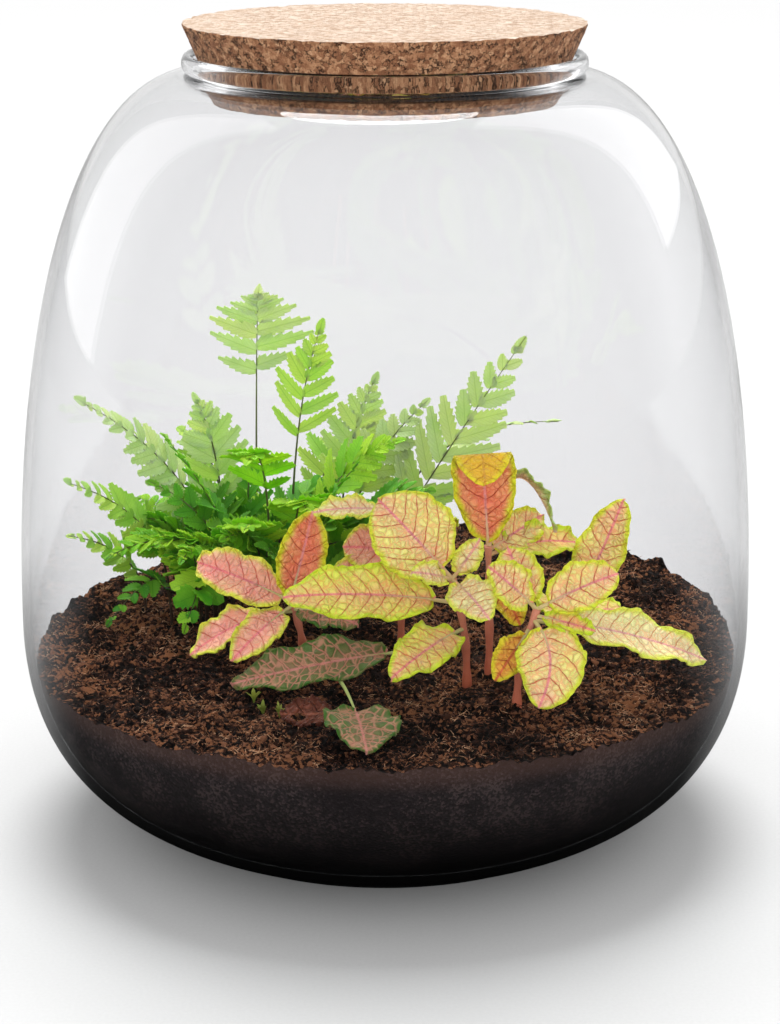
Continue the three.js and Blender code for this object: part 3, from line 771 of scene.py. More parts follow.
def add_turned(bm: BMesh, profile: Sequence[Pair], steps: int) -> None:
    """Turns a profile about the vertical axis into a closed body.

    Args:
        bm: The mesh.
        profile: Pairs of radius and height, from the axis back to the axis.
        steps: Steps in the full turn.
    """
    verts = [bm.verts.new((radius, 0, height)) for radius, height in profile]
    edges = [bm.edges.new(pair) for pair in zip(verts, verts[1:])]
    bmesh.ops.spin(
        bm, geom=verts + edges, axis=UP, cent=(0, 0, 0), angle=math.tau, steps=steps, use_merge=True
    )
    bmesh.ops.remove_doubles(bm, verts=bm.verts[:], dist=1e-6)
    bmesh.ops.recalc_face_normals(bm, faces=bm.faces[:])
    for face in bm.faces:
        face.smooth = True


def finish_piece(
    bm: BMesh, name: str, finishes: Sequence[Finish], nodes: Sequence[str] = ()
) -> Object:
    """Turns a mesh into a piece of the object.

    Args:
        bm: The mesh, which is used up.
        name: The piece's name.
        finishes: A finish for each material slot.
        nodes: CAD nodes that the piece stands for.

    Returns:
        The new object.
    """
    for edge in bm.edges:
        if len(edge.link_faces) == 2 and edge.calc_face_angle(0.0) > SHARP_ANGLE:
            edge.smooth = False
    mesh = bpy.data.meshes.new(name)
    bm.to_mesh(mesh)
    bm.free()
    for finish in finishes:
        mesh.materials.append(material_of(finish))
    piece = new_object(name, mesh)
    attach(piece, BODY)
    if nodes:
        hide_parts(*nodes)
    triangles = sum(len(polygon.vertices) - 2 for polygon in mesh.polygons)
    LOG.info("%s: %d triangles", name, triangles)
    return piece


# Jar and stopper


@dataclass(frozen=True)
class JarShape:
    """The jar's sizes in millimetres, and the line of its wall."""

    foot_radius: float = 71.4
    belly_radius: float = 115.2
    belly_height: float = 66.0
    neck_radius: float = 57.6
    neck_height: float = 236.2
    wall: float = 2.6
    floor: float = 4.0
    corner: float = 1.5
    foot_handle: Pair = (8.0, 5.4)
    belly_handle_down: float = 52.5
    belly_handle_up: float = 96.4
    neck_handle: Pair = (36.0, 1.6)
    steps: int = 48

    def wall_line(self, offset: float, steps: int) -> list[Pair]:
        """The wall's line from the foot to the neck.

        Args:
            offset: How far the line is moved inwards, in millimetres.
            steps: Steps in each of its two curves.

        Returns:
            Pairs of radius and height in millimetres, from low to high.
        """
        belly = (self.belly_radius, self.belly_height)
        lower = (
            (self.foot_radius, 0.0), (self.foot_radius + self.foot_handle[0], self.foot_handle[1]),
            (self.belly_radius, self.belly_height - self.belly_handle_down), belly,
        )
        upper = (
            belly, (self.belly_radius, self.belly_height + self.belly_handle_up),
            (self.neck_radius + self.neck_handle[0], self.neck_height + self.neck_handle[1]),
            (self.neck_radius, self.neck_height),
        )
        line = []
        for curve, first in ((lower, 0), (upper, 1)):
            for i in range(first, steps + 1):
                point, way = cubic(curve, i / steps)
                line.append((point.x - way.y * offset, point.y + way.x * offset))
        return line

    def radius_at(self, height: float, offset: float) -> float:
        """The radius of the moved wall line at a height.

        Args:
            height: How high, in millimetres.
            offset: How far the line is moved inwards, in millimetres.

        Returns:
            The radius in millimetres.
        """
        line = self.wall_line(offset, self.steps)
        for (r0, z0), (r1, z1) in zip(line, line[1:]):
            if z0 <= height <= z1:
                return r0 + (r1 - r0) * (height - z0) / (z1 - z0)
        return self.belly_radius - offset


def cubic(curve: Sequence[Pair], share: float) -> tuple[Vector, Vector]:
    """A point of a cubic curve in the plane, and the direction there.

    Args:
        curve: The two ends with the two handles between them.
        share: From 0 at the start to 1 at the end.

    Returns:
        The point and the unit direction.
    """
    a, b, c, d = (Vector(point) for point in curve)
    back = 1 - share
    point = a * back**3 + b * (3 * back**2 * share) + c * (3 * back * share**2) + d * share**3
    way = (b - a) * back**2 + (c - b) * (2 * back * share) + (d - c) * share**2
    return point, way.normalized()


@dataclass(frozen=True)
class GlassJar:
    """The blown jar: one wall from the foot to the beaded mouth."""

    shape: JarShape
    rim_centre: Pair = (59.56, 239.0)
    rim_half_width: float = 1.9
    rim_half_height: float = 2.8
    rim_arc: Pair = (-60.0, 200.0)
    rim_steps: int = 18
    wall_steps: int = 40
    steps: int = 144

    def build(self) -> Object:
        """Makes the jar.

        Returns:
            The glass piece.
        """
        outer = self.shape.wall_line(0.0, self.wall_steps)
        inside = self.shape.wall_line(self.shape.wall, self.wall_steps)
        inner = [point for point in inside if point[1] > self.shape.floor]
        start, end = self.rim_arc
        cuts = [i / self.rim_steps for i in range(self.rim_steps + 1)]
        turns = [math.radians(start + (end - start) * cut) for cut in cuts]
        rim = [
            (
                self.rim_centre[0] + math.cos(turn) * self.rim_half_width,
                self.rim_centre[1] + math.sin(turn) * self.rim_half_height,
            )
            for turn in turns
        ]
        floor = (inner[0][0] - self.shape.corner, self.shape.floor)
        profile = [(0.0, 0.0), *outer, *rim, *reversed(inner), floor, (0.0, self.shape.floor)]
        bm = bmesh.new()
        add_turned(bm, [(radius * MM, height * MM) for radius, height in profile], self.steps)
        return finish_piece(bm, "jar_glass", (ClearGlass(),), ("glass_jar",))


@dataclass(frozen=True)
class CorkStopper:
    """The tapered stopper, with broken edges and open pits. Sizes in millimetres."""

    bottom_height: float = 227.7
    top_height: float = 251.0
    bottom_radius: float = 51.3
    top_radius: float = 61.4
    edge: float = 0.5
    rough: float = 0.28
    chip: float = 0.9
    pit_from: float = 0.25
    pit_depth: float = 1.6
    top_crumbly: float = 0.25
    top_pitted: float = 0.3
    side_rows: int = 18
    bottom_rings: int = 14
    top_rings: int = 26
    steps: int = 260

    def profile(self) -> list[Pair]:
        """The stopper's line from the axis below to the axis above.

        Returns:
            Pairs of radius and height in millimetres.
        """
        rise = self.top_height - self.bottom_height
        flare = self.top_radius - self.bottom_radius
        bevel = self.edge / rise
        cuts = [bevel + (1 - 2 * bevel) * i / self.side_rows for i in range(self.side_rows + 1)]
        side = [(self.bottom_radius + flare * cut, self.bottom_height + rise * cut) for cut in cuts]
        lower, upper = self.bottom_rings, self.top_rings
        below = [(self.bottom_radius * i / lower, self.bottom_height) for i in range(lower)]
        above = [(self.top_radius * i / upper, self.top_height) for i in reversed(range(upper))]
        return [
            *below, (self.bottom_radius - self.edge, self.bottom_height), *side,
            (self.top_radius - self.edge, self.top_height), *above,
        ]

    def build(self) -> Object:
        """Makes the stopper.

        Returns:
            The cork piece.
        """
        bm = bmesh.new()
        add_turned(bm, [(radius * MM, height * MM) for radius, height in self.profile()], self.steps)
        bm.normal_update()
        for face in bm.faces:
            face.material_index = 1 if face.normal.z > 0.7 else 0
        top = self.top_height * MM
        inwards = {vert: -vert.normal.copy() for vert in bm.verts}
        for vert, way in inwards.items():
            spot = vert.co / MM
            crumbly = 0.5 + 0.5 * noise.noise(spot * 0.55)
            pitted = max(0.0, noise.noise(spot * 0.8 + Vector((9, 0, 0))) - self.pit_from)
            near_edge = math.exp(-((spot.z - self.top_height) ** 2) / 6)
            if vert.co.z > top - 0.1 * MM:
                near_edge *= math.exp(-((spot.xy.length - self.top_radius) ** 2) / 1.5)
                crumbly *= self.top_crumbly
                pitted *= self.top_pitted
            chips = self.chip * near_edge * max(0.0, noise.noise(spot * 0.35) + 0.1)
            vert.co += way * (self.rough * crumbly + self.pit_depth * pitted + chips) * MM
        return finish_piece(bm, "stopper_cork", (CORK_SIDE, CORK_TOP), ("cork_stopper",))


# Soil


@dataclass(frozen=True)
class SoilShape:
    """The soil's level in millimetres: mounded, uneven, and rising towards the back right."""

    edge_height: float = 54.6
    mound: float = 2.0
    bump: float = 1.3
    small_bump_share: float = 0.6
    bump_lengths: Pair = (11.0, 14.0)
    small_bump_lengths: Pair = (17.0, 7.0)
    clod: float = 1.7
    clod_lengths: Pair = (4.6, 4.2)
    clod_shift: float = 2.4
    clod_bends: Pair = (1.4, 1.2)
    clod_bend_lengths: Pair = (13.0, 11.0)
    clod_fade: float = 5.0
    back_rise: float = 6.5
    back_direction: Pair = (0.64, 0.77)
    back_power: float = 1.5
    radius: float = 112.0
    root_depth: float = 9.0
    bend_height: float = 1.2

    def clods(self, x: float, y: float) -> float:
        """How high the clods stand at a place.

        Args:
            x: The place to the right, in millimetres.
            y: The place to the back, in millimetres.

        Returns:
            A share of their height, between -1 and 1.
        """
        along_x = x / self.clod_lengths[0] + self.clod_bends[0] * math.sin(y / self.clod_bend_lengths[0])
        along_y = y / self.clod_lengths[1] + self.clod_bends[1] * math.sin(x / self.clod_bend_lengths[1])
        return math.sin(along_x + self.clod_shift) * math.cos(along_y)

    def height(self, x: float, y: float) -> float:
        """The soil's height at a place.

        Args:
            x: The place to the right, in millimetres.
            y: The place to the back, in millimetres.

        Returns:
            The height in millimetres.
        """
        inside = 1 - min(1.0, (x * x + y * y) / self.radius**2)
        large = math.sin(x / self.bump_lengths[0] + 1) * math.cos(y / self.bump_lengths[1])
        small = math.sin(y / self.small_bump_lengths[1] - x / self.small_bump_lengths[0])
        bumps = large + self.small_bump_share * small
        backwards = max(0.0, (self.back_direction[0] * x + self.back_direction[1] * y) / self.radius)
        level = self.edge_height + inside * self.mound + math.sqrt(inside) * self.bump * bumps
        level += min(1.0, self.clod_fade * inside) * self.clod * self.clods(x, y)
        return level + self.back_rise * backwards**self.back_power

    def root(self, place: Pair) -> Vector:
        """Where a stem leaves the soil and starts to lean, in metres."""
        return in_metres((*place, self.height(*place) + self.bend_height))

    def buried(self, frame: Frame) -> Frame:
        """A stem's first frame, let down to the foot of the stem's hole."""
        return replace(frame, point=frame.point - UP * (self.root_depth + self.bend_height) * MM)


@dataclass(frozen=True)
class Soil:
    """The peat with its crumbs and fibres. Sizes in millimetres."""

    jar: JarShape
    shape: SoilShape
    gap: float = 0.3
    cells: int = 270
    crumb_count: int = 9400
    fibre_count: int = 12000
    scatter_radius: float = 109.5
    scatter_lean: float = 0.35
    patch_size: int = 50
    crumb_size: Pair = (0.28, 1.15)
    crumb_length: Pair = (0.7, 0.9)
    crumb_flatness: float = 0.65
    crumb_lumps: float = 0.16
    fibre_half: Pair = (0.07, 0.08)
    fibre_length: Pair = (0.8, 3.8)
    fibre_lift: float = 0.45
    lump: float = 1.4
    ridge: float = 0.9
    grit: float = 0.6
    sunk: float = 0.8
    bank_from: float = 0.82
    bank_back: float = 3.5
    bank_slope: float = 5.0
    seed: int = 11

    def surface(self, x: float, y: float) -> float:
        """The height of the crumbly surface at a place.

        Args:
            x: The place to the right, in millimetres.
            y: The place to the back, in millimetres.

        Returns:
            The height in millimetres.
        """
        spot = Vector((x, y, 0))
        lumps = noise.fractal(spot / 8.0, 0.8, 2.2, 3)
        ridges = 1 - 2 * abs(noise.noise(spot / 3.6 + Vector((0, 7, 0))))
        grit = noise.noise(spot / 1.7 + Vector((5, 3, 0)))
        outside = max(0.0, math.hypot(x, y) / self.shape.radius - self.bank_from)
        banked = outside * (self.bank_back if y > 0 else 1.0)
        banks = banked * self.bank_slope * max(0.0, 0.4 + noise.noise(spot / 11 + Vector((2, 9, 0))))
        relief = self.lump * lumps + self.ridge * ridges + self.grit * grit
        return self.shape.height(x, y) + relief + banks - self.sunk

    def bed(self) -> Object:
        """Makes the body of the soil, from a grid drawn out to a disc and let down along the glass.

        Returns:
            The soil piece.
        """
        bm = bmesh.new()
        bmesh.ops.create_grid(bm, x_segments=self.cells, y_segments=self.cells, size=1.0)
        reach = self.jar.radius_at(self.shape.edge_height, self.jar.wall + self.gap)
        for vert in bm.verts:
            u, v = vert.co.x, vert.co.y
            x = u * math.sqrt(1 - v * v / 2) * reach
            y = v * math.sqrt(1 - u * u / 2) * reach
            vert.co = Vector((x, y, self.surface(x, y))) * MM
        edges = [edge for edge in bm.edges if len(edge.link_faces) == 1]
        wall = self.jar.wall_line(self.jar.wall + self.gap, 24)
        low = self.jar.floor + self.gap
        levels = [point for point in wall if low < point[1] < self.shape.edge_height - 4]
        levels = [(levels[0][0] - self.jar.corner, low), *levels][::-2]
        for radius, height in levels:
            ring, edges, faces = draw_out(bm, edges)
            for face in faces:
                face.material_index = 1
            for vert in ring:
                outwards = vert.co.xy.normalized() * radius * MM
                vert.co = Vector((outwards.x, outwards.y, height * MM))
        bottom = bmesh.ops.contextual_create(bm, geom=edges)["faces"][0]
        bottom.material_index = 1
        bmesh.ops.recalc_face_normals(bm, faces=bm.faces[:])
        for face in bm.faces:
            face.smooth = True
        return finish_piece(bm, "soil_bed", (SOIL_TOP, SOIL_SIDE), ("potting_soil",))

    def scatter(
        self, name: str, count: int, finish: Finish, add: Callable[[BMesh, Matrix], None]
    ) -> Object:
        """Strews small shapes over the soil.

        Args:
            name: The piece's name.
            count: How many shapes.
            finish: Their finish.
            add: Adds one shape to a mesh with a transform.

        Returns:
            The piece with all of them.
        """
        draw = random.Random(self.seed)
        whole = bmesh.new()
        patch = bmesh.new()
        for i in range(count):
            radius = self.scatter_radius * math.sqrt(draw.random())
            turn = draw.random() * math.tau
            x, y = radius * math.cos(turn), radius * math.sin(turn)
            spot = Vector((x, y, self.surface(x, y))) * MM
            axis = (math.cos(turn * 7), math.sin(turn * 7), 0)
            lean = Matrix.Rotation(draw.gauss(0, self.scatter_lean), 4, axis)
            add(patch, Matrix.Translation(spot) @ lean @ Matrix.Rotation(draw.random() * math.tau, 4, "Z"))
            if i % self.patch_size == self.patch_size - 1 or i == count - 1:
                pour(patch, whole)
                patch = bmesh.new()
        patch.free()
        return finish_piece(whole, name, (finish,))

    def crumbs(self) -> Object:
        """Makes the loose crumbs, 0.5 to 4 mm across.

        Returns:
            The piece with the crumbs.
        """
        draw = random.Random(self.seed + 1)

        def add(patch: BMesh, place: Matrix) -> None:
            """Adds one lumpy crumb.

            Args:
                patch: The mesh.
                place: The transform that lays it on the soil.
            """
            size = self.crumb_size[0] + self.crumb_size[1] * draw.random() ** 3
            length = size * drawn(draw, self.crumb_length)
            squeeze = Matrix.Diagonal((length, size, size * self.crumb_flatness, 1)) * MM
            squeeze[3][3] = 1.0
            made = bmesh.ops.create_icosphere(patch, subdivisions=1, radius=1.0, matrix=place @ squeeze)
            for vert in made["verts"]:
                lump = Vector((draw.gauss(0, 1), draw.gauss(0, 1), draw.gauss(0, 1)))
                vert.co += lump * self.crumb_lumps * size * MM

        return self.scatter("soil_crumbs", self.crumb_count, SOIL_CRUMB, add)

    def fibres(self) -> Object:
        """Makes the peat fibres, 1 to 5 mm long, thicker than the finest real ones so that they show.

        Returns:
            The piece with the fibres.
        """
        draw = random.Random(self.seed + 2)

        def add(patch: BMesh, place: Matrix) -> None:
            """Adds one tapered fibre that lies on its side.

            Args:
                patch: The mesh.
                place: The transform that lays it on the soil.
            """
            half = drawn(draw, self.fibre_half) * MM
            length = (self.fibre_length[0] + self.fibre_length[1] * draw.random() ** 2) * MM
            tip = Matrix.Rotation(math.pi / 2 - draw.gauss(0.25, 0.35), 4, "X")
            lift = Matrix.Translation((0, 0, self.fibre_lift * MM))
            bmesh.ops.create_cone(
                patch, cap_ends=True, segments=3, radius1=half, radius2=half * 0.4, depth=length,
                matrix=place @ lift @ tip,
            )

        return self.scatter("soil_fibres", self.fibre_count, SOIL_FIBRE, add)


# Fern


@dataclass(frozen=True)
class Leaflet:
    """The outline of a toothed leaflet, as shares of its length and half width, and how they stand."""

    teeth: int = 6
    tooth_depth: float = 0.2
    ear: float = 0.5
    bluntness: float = 0.7
    widest: float = 0.75
    fill: float = 0.5
    slimness: float = 0.3
    crowding: float = 1.45
    taper: float = 0.6
    taper_power: float = 1.0
    angle: float = 62.0

    def reach(self, share: float) -> float:
        """How long a leaflet is at a share of the frond's blade, as a share of the longest."""
        low = 0.82 + 0.18 * min(1.0, share / 0.2)
        return low * min(1.0, (1 - share) / self.taper) ** self.taper_power

    def half_width(self, share: float, forward: bool) -> float:
        """Half the leaflet's width on one side, as a share of the whole.

        Args:
            share: From 0 at its root to 1 at its tip.
            forward: Whether this is the side towards the frond's tip.

        Returns:
            The half width there.
        """
        body = max(0.0, math.sin(math.pi * (0.05 + 0.95 * share) ** self.widest)) ** self.bluntness
        notch = 0.0 if self.on_tooth(share) else self.tooth_depth * (1.3 if forward else 0.8)
        ear = self.ear * math.exp(-(((share - 0.13) / 0.09) ** 2)) if forward else 0.0
        return body * (1 - notch) + ear

    def on_tooth(self, share: float) -> bool:
        """Whether a row of the leaflet's grid runs to the tips of two teeth."""
        return abs(share * self.teeth % 1.0 - 0.5) < 0.25


class LeafletForm(Enum):
    """Kinds of leaflet on this fern."""

    LANCE = Leaflet(7, 0.24, 0.3, 0.55, 0.8, 0.3, 0.22, 1.25, 0.95, 0.9, 52.0)
    OPEN = Leaflet(7, 0.24, 0.4, 0.55, 0.78, 0.36, 0.22, 1.2, 0.6, 0.85, 50.0)
    LOBED = Leaflet(7, 0.3, 0.45, 0.6, 0.75, 0.4, 0.25, 1.35, 0.8, 0.9, 54.0)
    BROAD = Leaflet(5, 0.24, 0.3, 0.6, 0.75, 0.6, 0.4, 1.2, 0.85, 0.7, 54.0)
    THIN = Leaflet(6, 0.3, 0.5, 0.8, 0.6, 0.34, 0.15, 1.9, 0.6, 0.7, 76.0)


@dataclass(frozen=True)
class Frond:
    """One frond, with its sizes in millimetres as on its solid, and its look."""

    name: str
    root: Pair
    tip: Triple
    lift: float
    bare: float
    width: float
    pairs: int
    roll: float = 0.0
    look: FernLook = FernLook.FRESH
    form: LeafletForm = LeafletForm.LOBED


@dataclass(frozen=True)
class FernClump:
    """All fronds of the fern, each grown from its own root. Sizes in millimetres."""

    soil: SoilShape
    fronds: tuple[Frond, ...]
    rib_half_width: float = 0.5
    blade_end: float = 0.97
    droop: float = 0.008
    thickness: float = 0.2
    undergrowth_count: int = 44
    undergrowth_centre: Pair = (-42.0, 26.0)
    undergrowth_spread: Pair = (30.0, 20.0)
    small_reach: Pair = (14.0, 16.0)
    small_height: Pair = (76.0, 44.0)
    small_lift: Pair = (18.0, 22.0)
    small_width: Pair = (22.0, 10.0)
    small_bare: float = 0.3
    small_pairs: int = 7
    small_roll: float = 30.0
    closing: float = 16.0
    angle_spread: float = 3.0
    stagger: float = 0.12
    length_spread: float = 0.05
    tilt_spread: float = 0.12
    curl: Pair = (0.12, 0.08)
    twist_spread: float = 0.3
    fold: float = 0.3
    tooth_lean: float = 0.45
    seed: int = 5

    def build(self) -> None:
        """Makes a piece for each frond, and two for the undergrowth."""
        for i, frond in enumerate(self.fronds):
            bm = new_mesh()
            self.add_frond(bm, frond, random.Random(self.seed + i))
            finishes = (frond.look.value, FERN_STALK)
            finish_piece(bm, f"frond_{frond.name}", finishes, (f"fern_frond_{frond.name}",))
        draw = random.Random(self.seed)
        looks = (FernLook.BRIGHT, FernLook.DEEP)
        for look in looks:
            bm = new_mesh()
            for _ in range(self.undergrowth_count // len(looks)):
                self.add_frond(bm, self.small_frond(draw, look), draw)
            finishes = (look.value, FERN_STALK)
            finish_piece(bm, f"fern_undergrowth_{look.name.lower()}", finishes)

    def small_frond(self, draw: random.Random, look: FernLook) -> Frond:
        """Places one short frond of the undergrowth.

        Args:
            draw: Where its place and size come from.
            look: Its look.

        Returns:
            The frond.
        """
        turn = draw.random() * math.tau
        reach = math.sqrt(draw.random())
        root = (
            self.undergrowth_centre[0] + self.undergrowth_spread[0] * reach * math.cos(turn),
            self.undergrowth_centre[1] + self.undergrowth_spread[1] * reach * math.sin(turn),
        )
        out = drawn(draw, self.small_reach)
        way = turn + draw.gauss(0, 0.5)
        height = self.small_height[0] + self.small_height[1] * draw.random() * (1.2 - reach)
        tip = (root[0] + out * math.cos(way), root[1] + out * math.sin(way), height)
        lift = drawn(draw, self.small_lift)
        width = drawn(draw, self.small_width)
        roll = draw.gauss(0, self.small_roll)
        return Frond("undergrowth", root, tip, lift, self.small_bare, width, self.small_pairs, roll, look)

    def add_frond(self, bm: BMesh, frond: Frond, draw: random.Random) -> None:
        """Adds one frond to a mesh.

        Args:
            bm: The mesh, with its two maps.
            frond: Which one.
            draw: Where its small differences come from.
        """
        ground = self.soil.root(frond.root)
        tip = in_metres(frond.tip)
        level = tip - ground
        level.z = 0
        rib = Rib(ground, ground + UP * frond.lift * MM, tip, level.cross(UP).normalized())
        self.add_rachis(bm, frond, rib)
        length = rib.length() / MM
        form = frond.form.value
        leaf_shares = [1 - (1 - i / frond.pairs) ** form.crowding for i in range(frond.pairs + 1)]
        run = self.blade_end - frond.bare
        shares = [frond.bare + run * share for share in leaf_shares]
        for i, (share, after) in enumerate(zip(shares, shares[1:])):
            reach = form.reach(leaf_shares[i]) * frond.width / 2
            gap = (after - share) * length
            half_width = min(form.fill * gap * (1 + leaf_shares[i]), form.slimness * reach + 0.6)
            for side in (-1, 1):
                at = share + (0.3 + self.stagger * side) * (after - share)
                frame = rib.frame(at, frond.roll * min(1.0, at / frond.bare))
                angle = form.angle - self.closing * i / frond.pairs + draw.gauss(0, self.angle_spread)
                self.add_leaflet(bm, frond, frame, side, reach, half_width, angle, draw)
        end = rib.frame(self.blade_end - 0.02, frond.roll)
        last = (1 - self.blade_end + 0.02) * length
        self.add_leaflet(bm, frond, end, 0, last + 0.5, 0.28 * last + 0.5, 0.0, draw)

    def add_rachis(self, bm: BMesh, frond: Frond, rib: Rib) -> None:
        """Adds the stalk and its run through the blade.

        Args:
            bm: The frond's mesh.
            frond: Which frond.
            rib: The line that it follows.
        """
        half = self.rib_half_width * MM
        stations = [(self.soil.buried(rib.frame(0)), half, half)]
        for i in range(17):
            share = i / 16 * 0.985
            taper = half * (1 - 0.78 * share)
            stations.append((rib.frame(share, frond.roll * min(1.0, share / frond.bare)), taper, taper))
        add_tube(bm, stations, 6, 1)

    def add_leaflet(
        self,
        bm: BMesh,
        frond: Frond,
        frame: Frame,
        side: int,
        length: float,
        half_width: float,
        angle: float,
        draw: random.Random,
    ) -> None:
        """Adds one leaflet.

        Args:
            bm: The frond's mesh.
            frond: Which frond.
            frame: Where the leaflet stands on the rib.
            side: -1 or 1 for the two sides, and 0 for the leaflet at the tip.
            length: The leaflet's length in millimetres.
            half_width: Its half width in millimetres.
            angle: Its angle to the rib in degrees.
            draw: Where its small differences come from.
        """
        sine, cosine = math.sin(math.radians(angle)), math.cos(math.radians(angle))
        outwards = frame.side * (side * sine) + frame.along * cosine
        forwards = frame.along * sine - frame.side * (side * cosine) if side else frame.side
        outline = frond.form.value
        length *= 1 + draw.gauss(0, self.length_spread)
        tilt = draw.gauss(0, self.tilt_spread)
        curl = draw.gauss(*self.curl)
        twist = draw.gauss(0, self.twist_spread)
        age = draw.random()
        flip = -1 if side > 0 else 1

        def place(across: float, share: float) -> Vector:
            """The point of the leaflet at a place on its grid.

            Args:
                across: From -1 to 1.
                share: From 0 at its foot to 1 at its tip.

            Returns:
                The point in metres.
            """
            towards_tip = across * flip
            half = half_width * outline.half_width(share, towards_tip > 0)
            lean = abs(across) * self.tooth_lean / outline.teeth if outline.on_tooth(share) else 0.0
            out = min(1.0, share + lean) * length
            rise = -self.droop * out * out + out * tilt - curl * length * share**2 * 0.5
            rise += (abs(across) * self.fold + towards_tip * twist) * half
            flat = outwards * out + forwards * (towards_tip * half) + frame.up * rise
            return frame.point + flat * MM

        def marks(across: float, share: float) -> tuple[Pair, Pair]:
            """The leaflet's two map values at a place on its grid.

            Args:
                across: From -1 to 1.
                share: From 0 at its foot to 1 at its tip.

            Returns:
                The place on the leaflet, and the distance to its edge with its age.
            """
            half = half_width * outline.half_width(share, across * flip > 0)
            spot = (across * half / UV_SPAN, share * length / UV_SPAN)
            return spot, ((1 - abs(across)) * half / UV_SPAN, age)

        add_blade(bm, (2, 2 * outline.teeth), place, marks, self.thickness * MM)


FRONDS = (
    Frond("tall", (-44, 56), (-43, 66, 156), 70, 0.62, 36, 8, 0, FernLook.PALE, LeafletForm.THIN),
    Frond("centre", (-32, 46), (-21, 47, 148), 60, 0.48, 34, 8, 75, FernLook.FRESH, LeafletForm.LANCE),
    Frond("right", (-6, 40), (48, 40, 148), 12, 0.44, 40, 11, 85, FernLook.PALE, LeafletForm.OPEN),
    Frond("far_right", (2, 56), (61, 66, 110), 55, 0.45, 20, 7, look=FernLook.PALE),
    Frond("back", (-16, 56), (-3, 62, 127), 45, 0.4, 30, 8, 70, FernLook.PALE),
    Frond("middle", (-14, 44), (15, 50, 122), 38, 0.42, 28, 8, 60, FernLook.PALE),
    Frond("left_middle", (-54, 48), (-64, 52, 122), 48, 0.35, 30, 8, -70, FernLook.PALE),
    Frond("left", (-56, 34), (-100, 8, 133), 45, 0.28, 32, 14, -50, FernLook.PALE),
    Frond("far_left", (-66, 44), (-92, 42, 118), 45, 0.4, 24, 8, look=FernLook.PALE),
    Frond("low_left", (-72, 30), (-104, 6, 106), 32, 0.3, 26, 10, -50, FernLook.FRESH),
    Frond("lowest_left", (-80, 28), (-104, 12, 86), 22, 0.3, 22, 8, -40, FernLook.FRESH),
    Frond("front_left", (-70, 14), (-89, -12, 62), 30, 0.25, 19, 7, -20, FernLook.DEEP, LeafletForm.LOBED),
    Frond("front", (-54, 10), (-63, -24, 64), 34, 0.25, 29, 5, -20, FernLook.BRIGHT, LeafletForm.BROAD),
    Frond("inner_left", (-52, 18), (-78, -8, 86), 38, 0.34, 25, 8, look=FernLook.BRIGHT),
    Frond("inner", (-38, 28), (-44, 4, 112), 62, 0.4, 32, 8, look=FernLook.BRIGHT),
    Frond("inner_right", (-24, 32), (6, 26, 114), 52, 0.35, 32, 8, 40, FernLook.BRIGHT),
    Frond("inner_front", (-40, 9), (-44, -16, 96), 42, 0.35, 30, 8, look=FernLook.BRIGHT),
    Frond("middle_front", (-30, 18), (-24, -8, 98), 52, 0.4, 30, 8, look=FernLook.BRIGHT),
    Frond("right_front", (-12, 22), (16, 6, 102), 46, 0.38, 28, 8, 30, FernLook.DEEP),
    Frond("low_front_left", (-62, 20), (-90, -2, 82), 36, 0.3, 26, 8, -20, FernLook.BRIGHT),
    Frond("back_left", (-54, 60), (-72, 78, 104), 50, 0.35, 30, 8, look=FernLook.FRESH),
    Frond("back_right", (-24, 64), (-12, 92, 98), 48, 0.35, 30, 8, look=FernLook.FRESH),
)


# Nerve plants


@dataclass(frozen=True)
class Leaf:
    """One leaf of a nerve plant, with its sizes in millimetres as on its solid, and its look."""

    tip: Triple
    arch: float
    width: float
    face: Triple
    look: LeafLook = LeafLook.PALE
    at: float = 1.0
    sway: float = 0.0
    stalk: float = 0.15
    fold: float = 0.3
    flap: float = 0.0
    blunt: float = 0.0


@dataclass(frozen=True)
class LeafyStem:
    """A stem of the nerve plant with its leaves. Root and top in millimetres."""

    name: str
    root: Pair
    top: Triple
    leaves: tuple[Leaf, ...]
    thin: float = 1.0


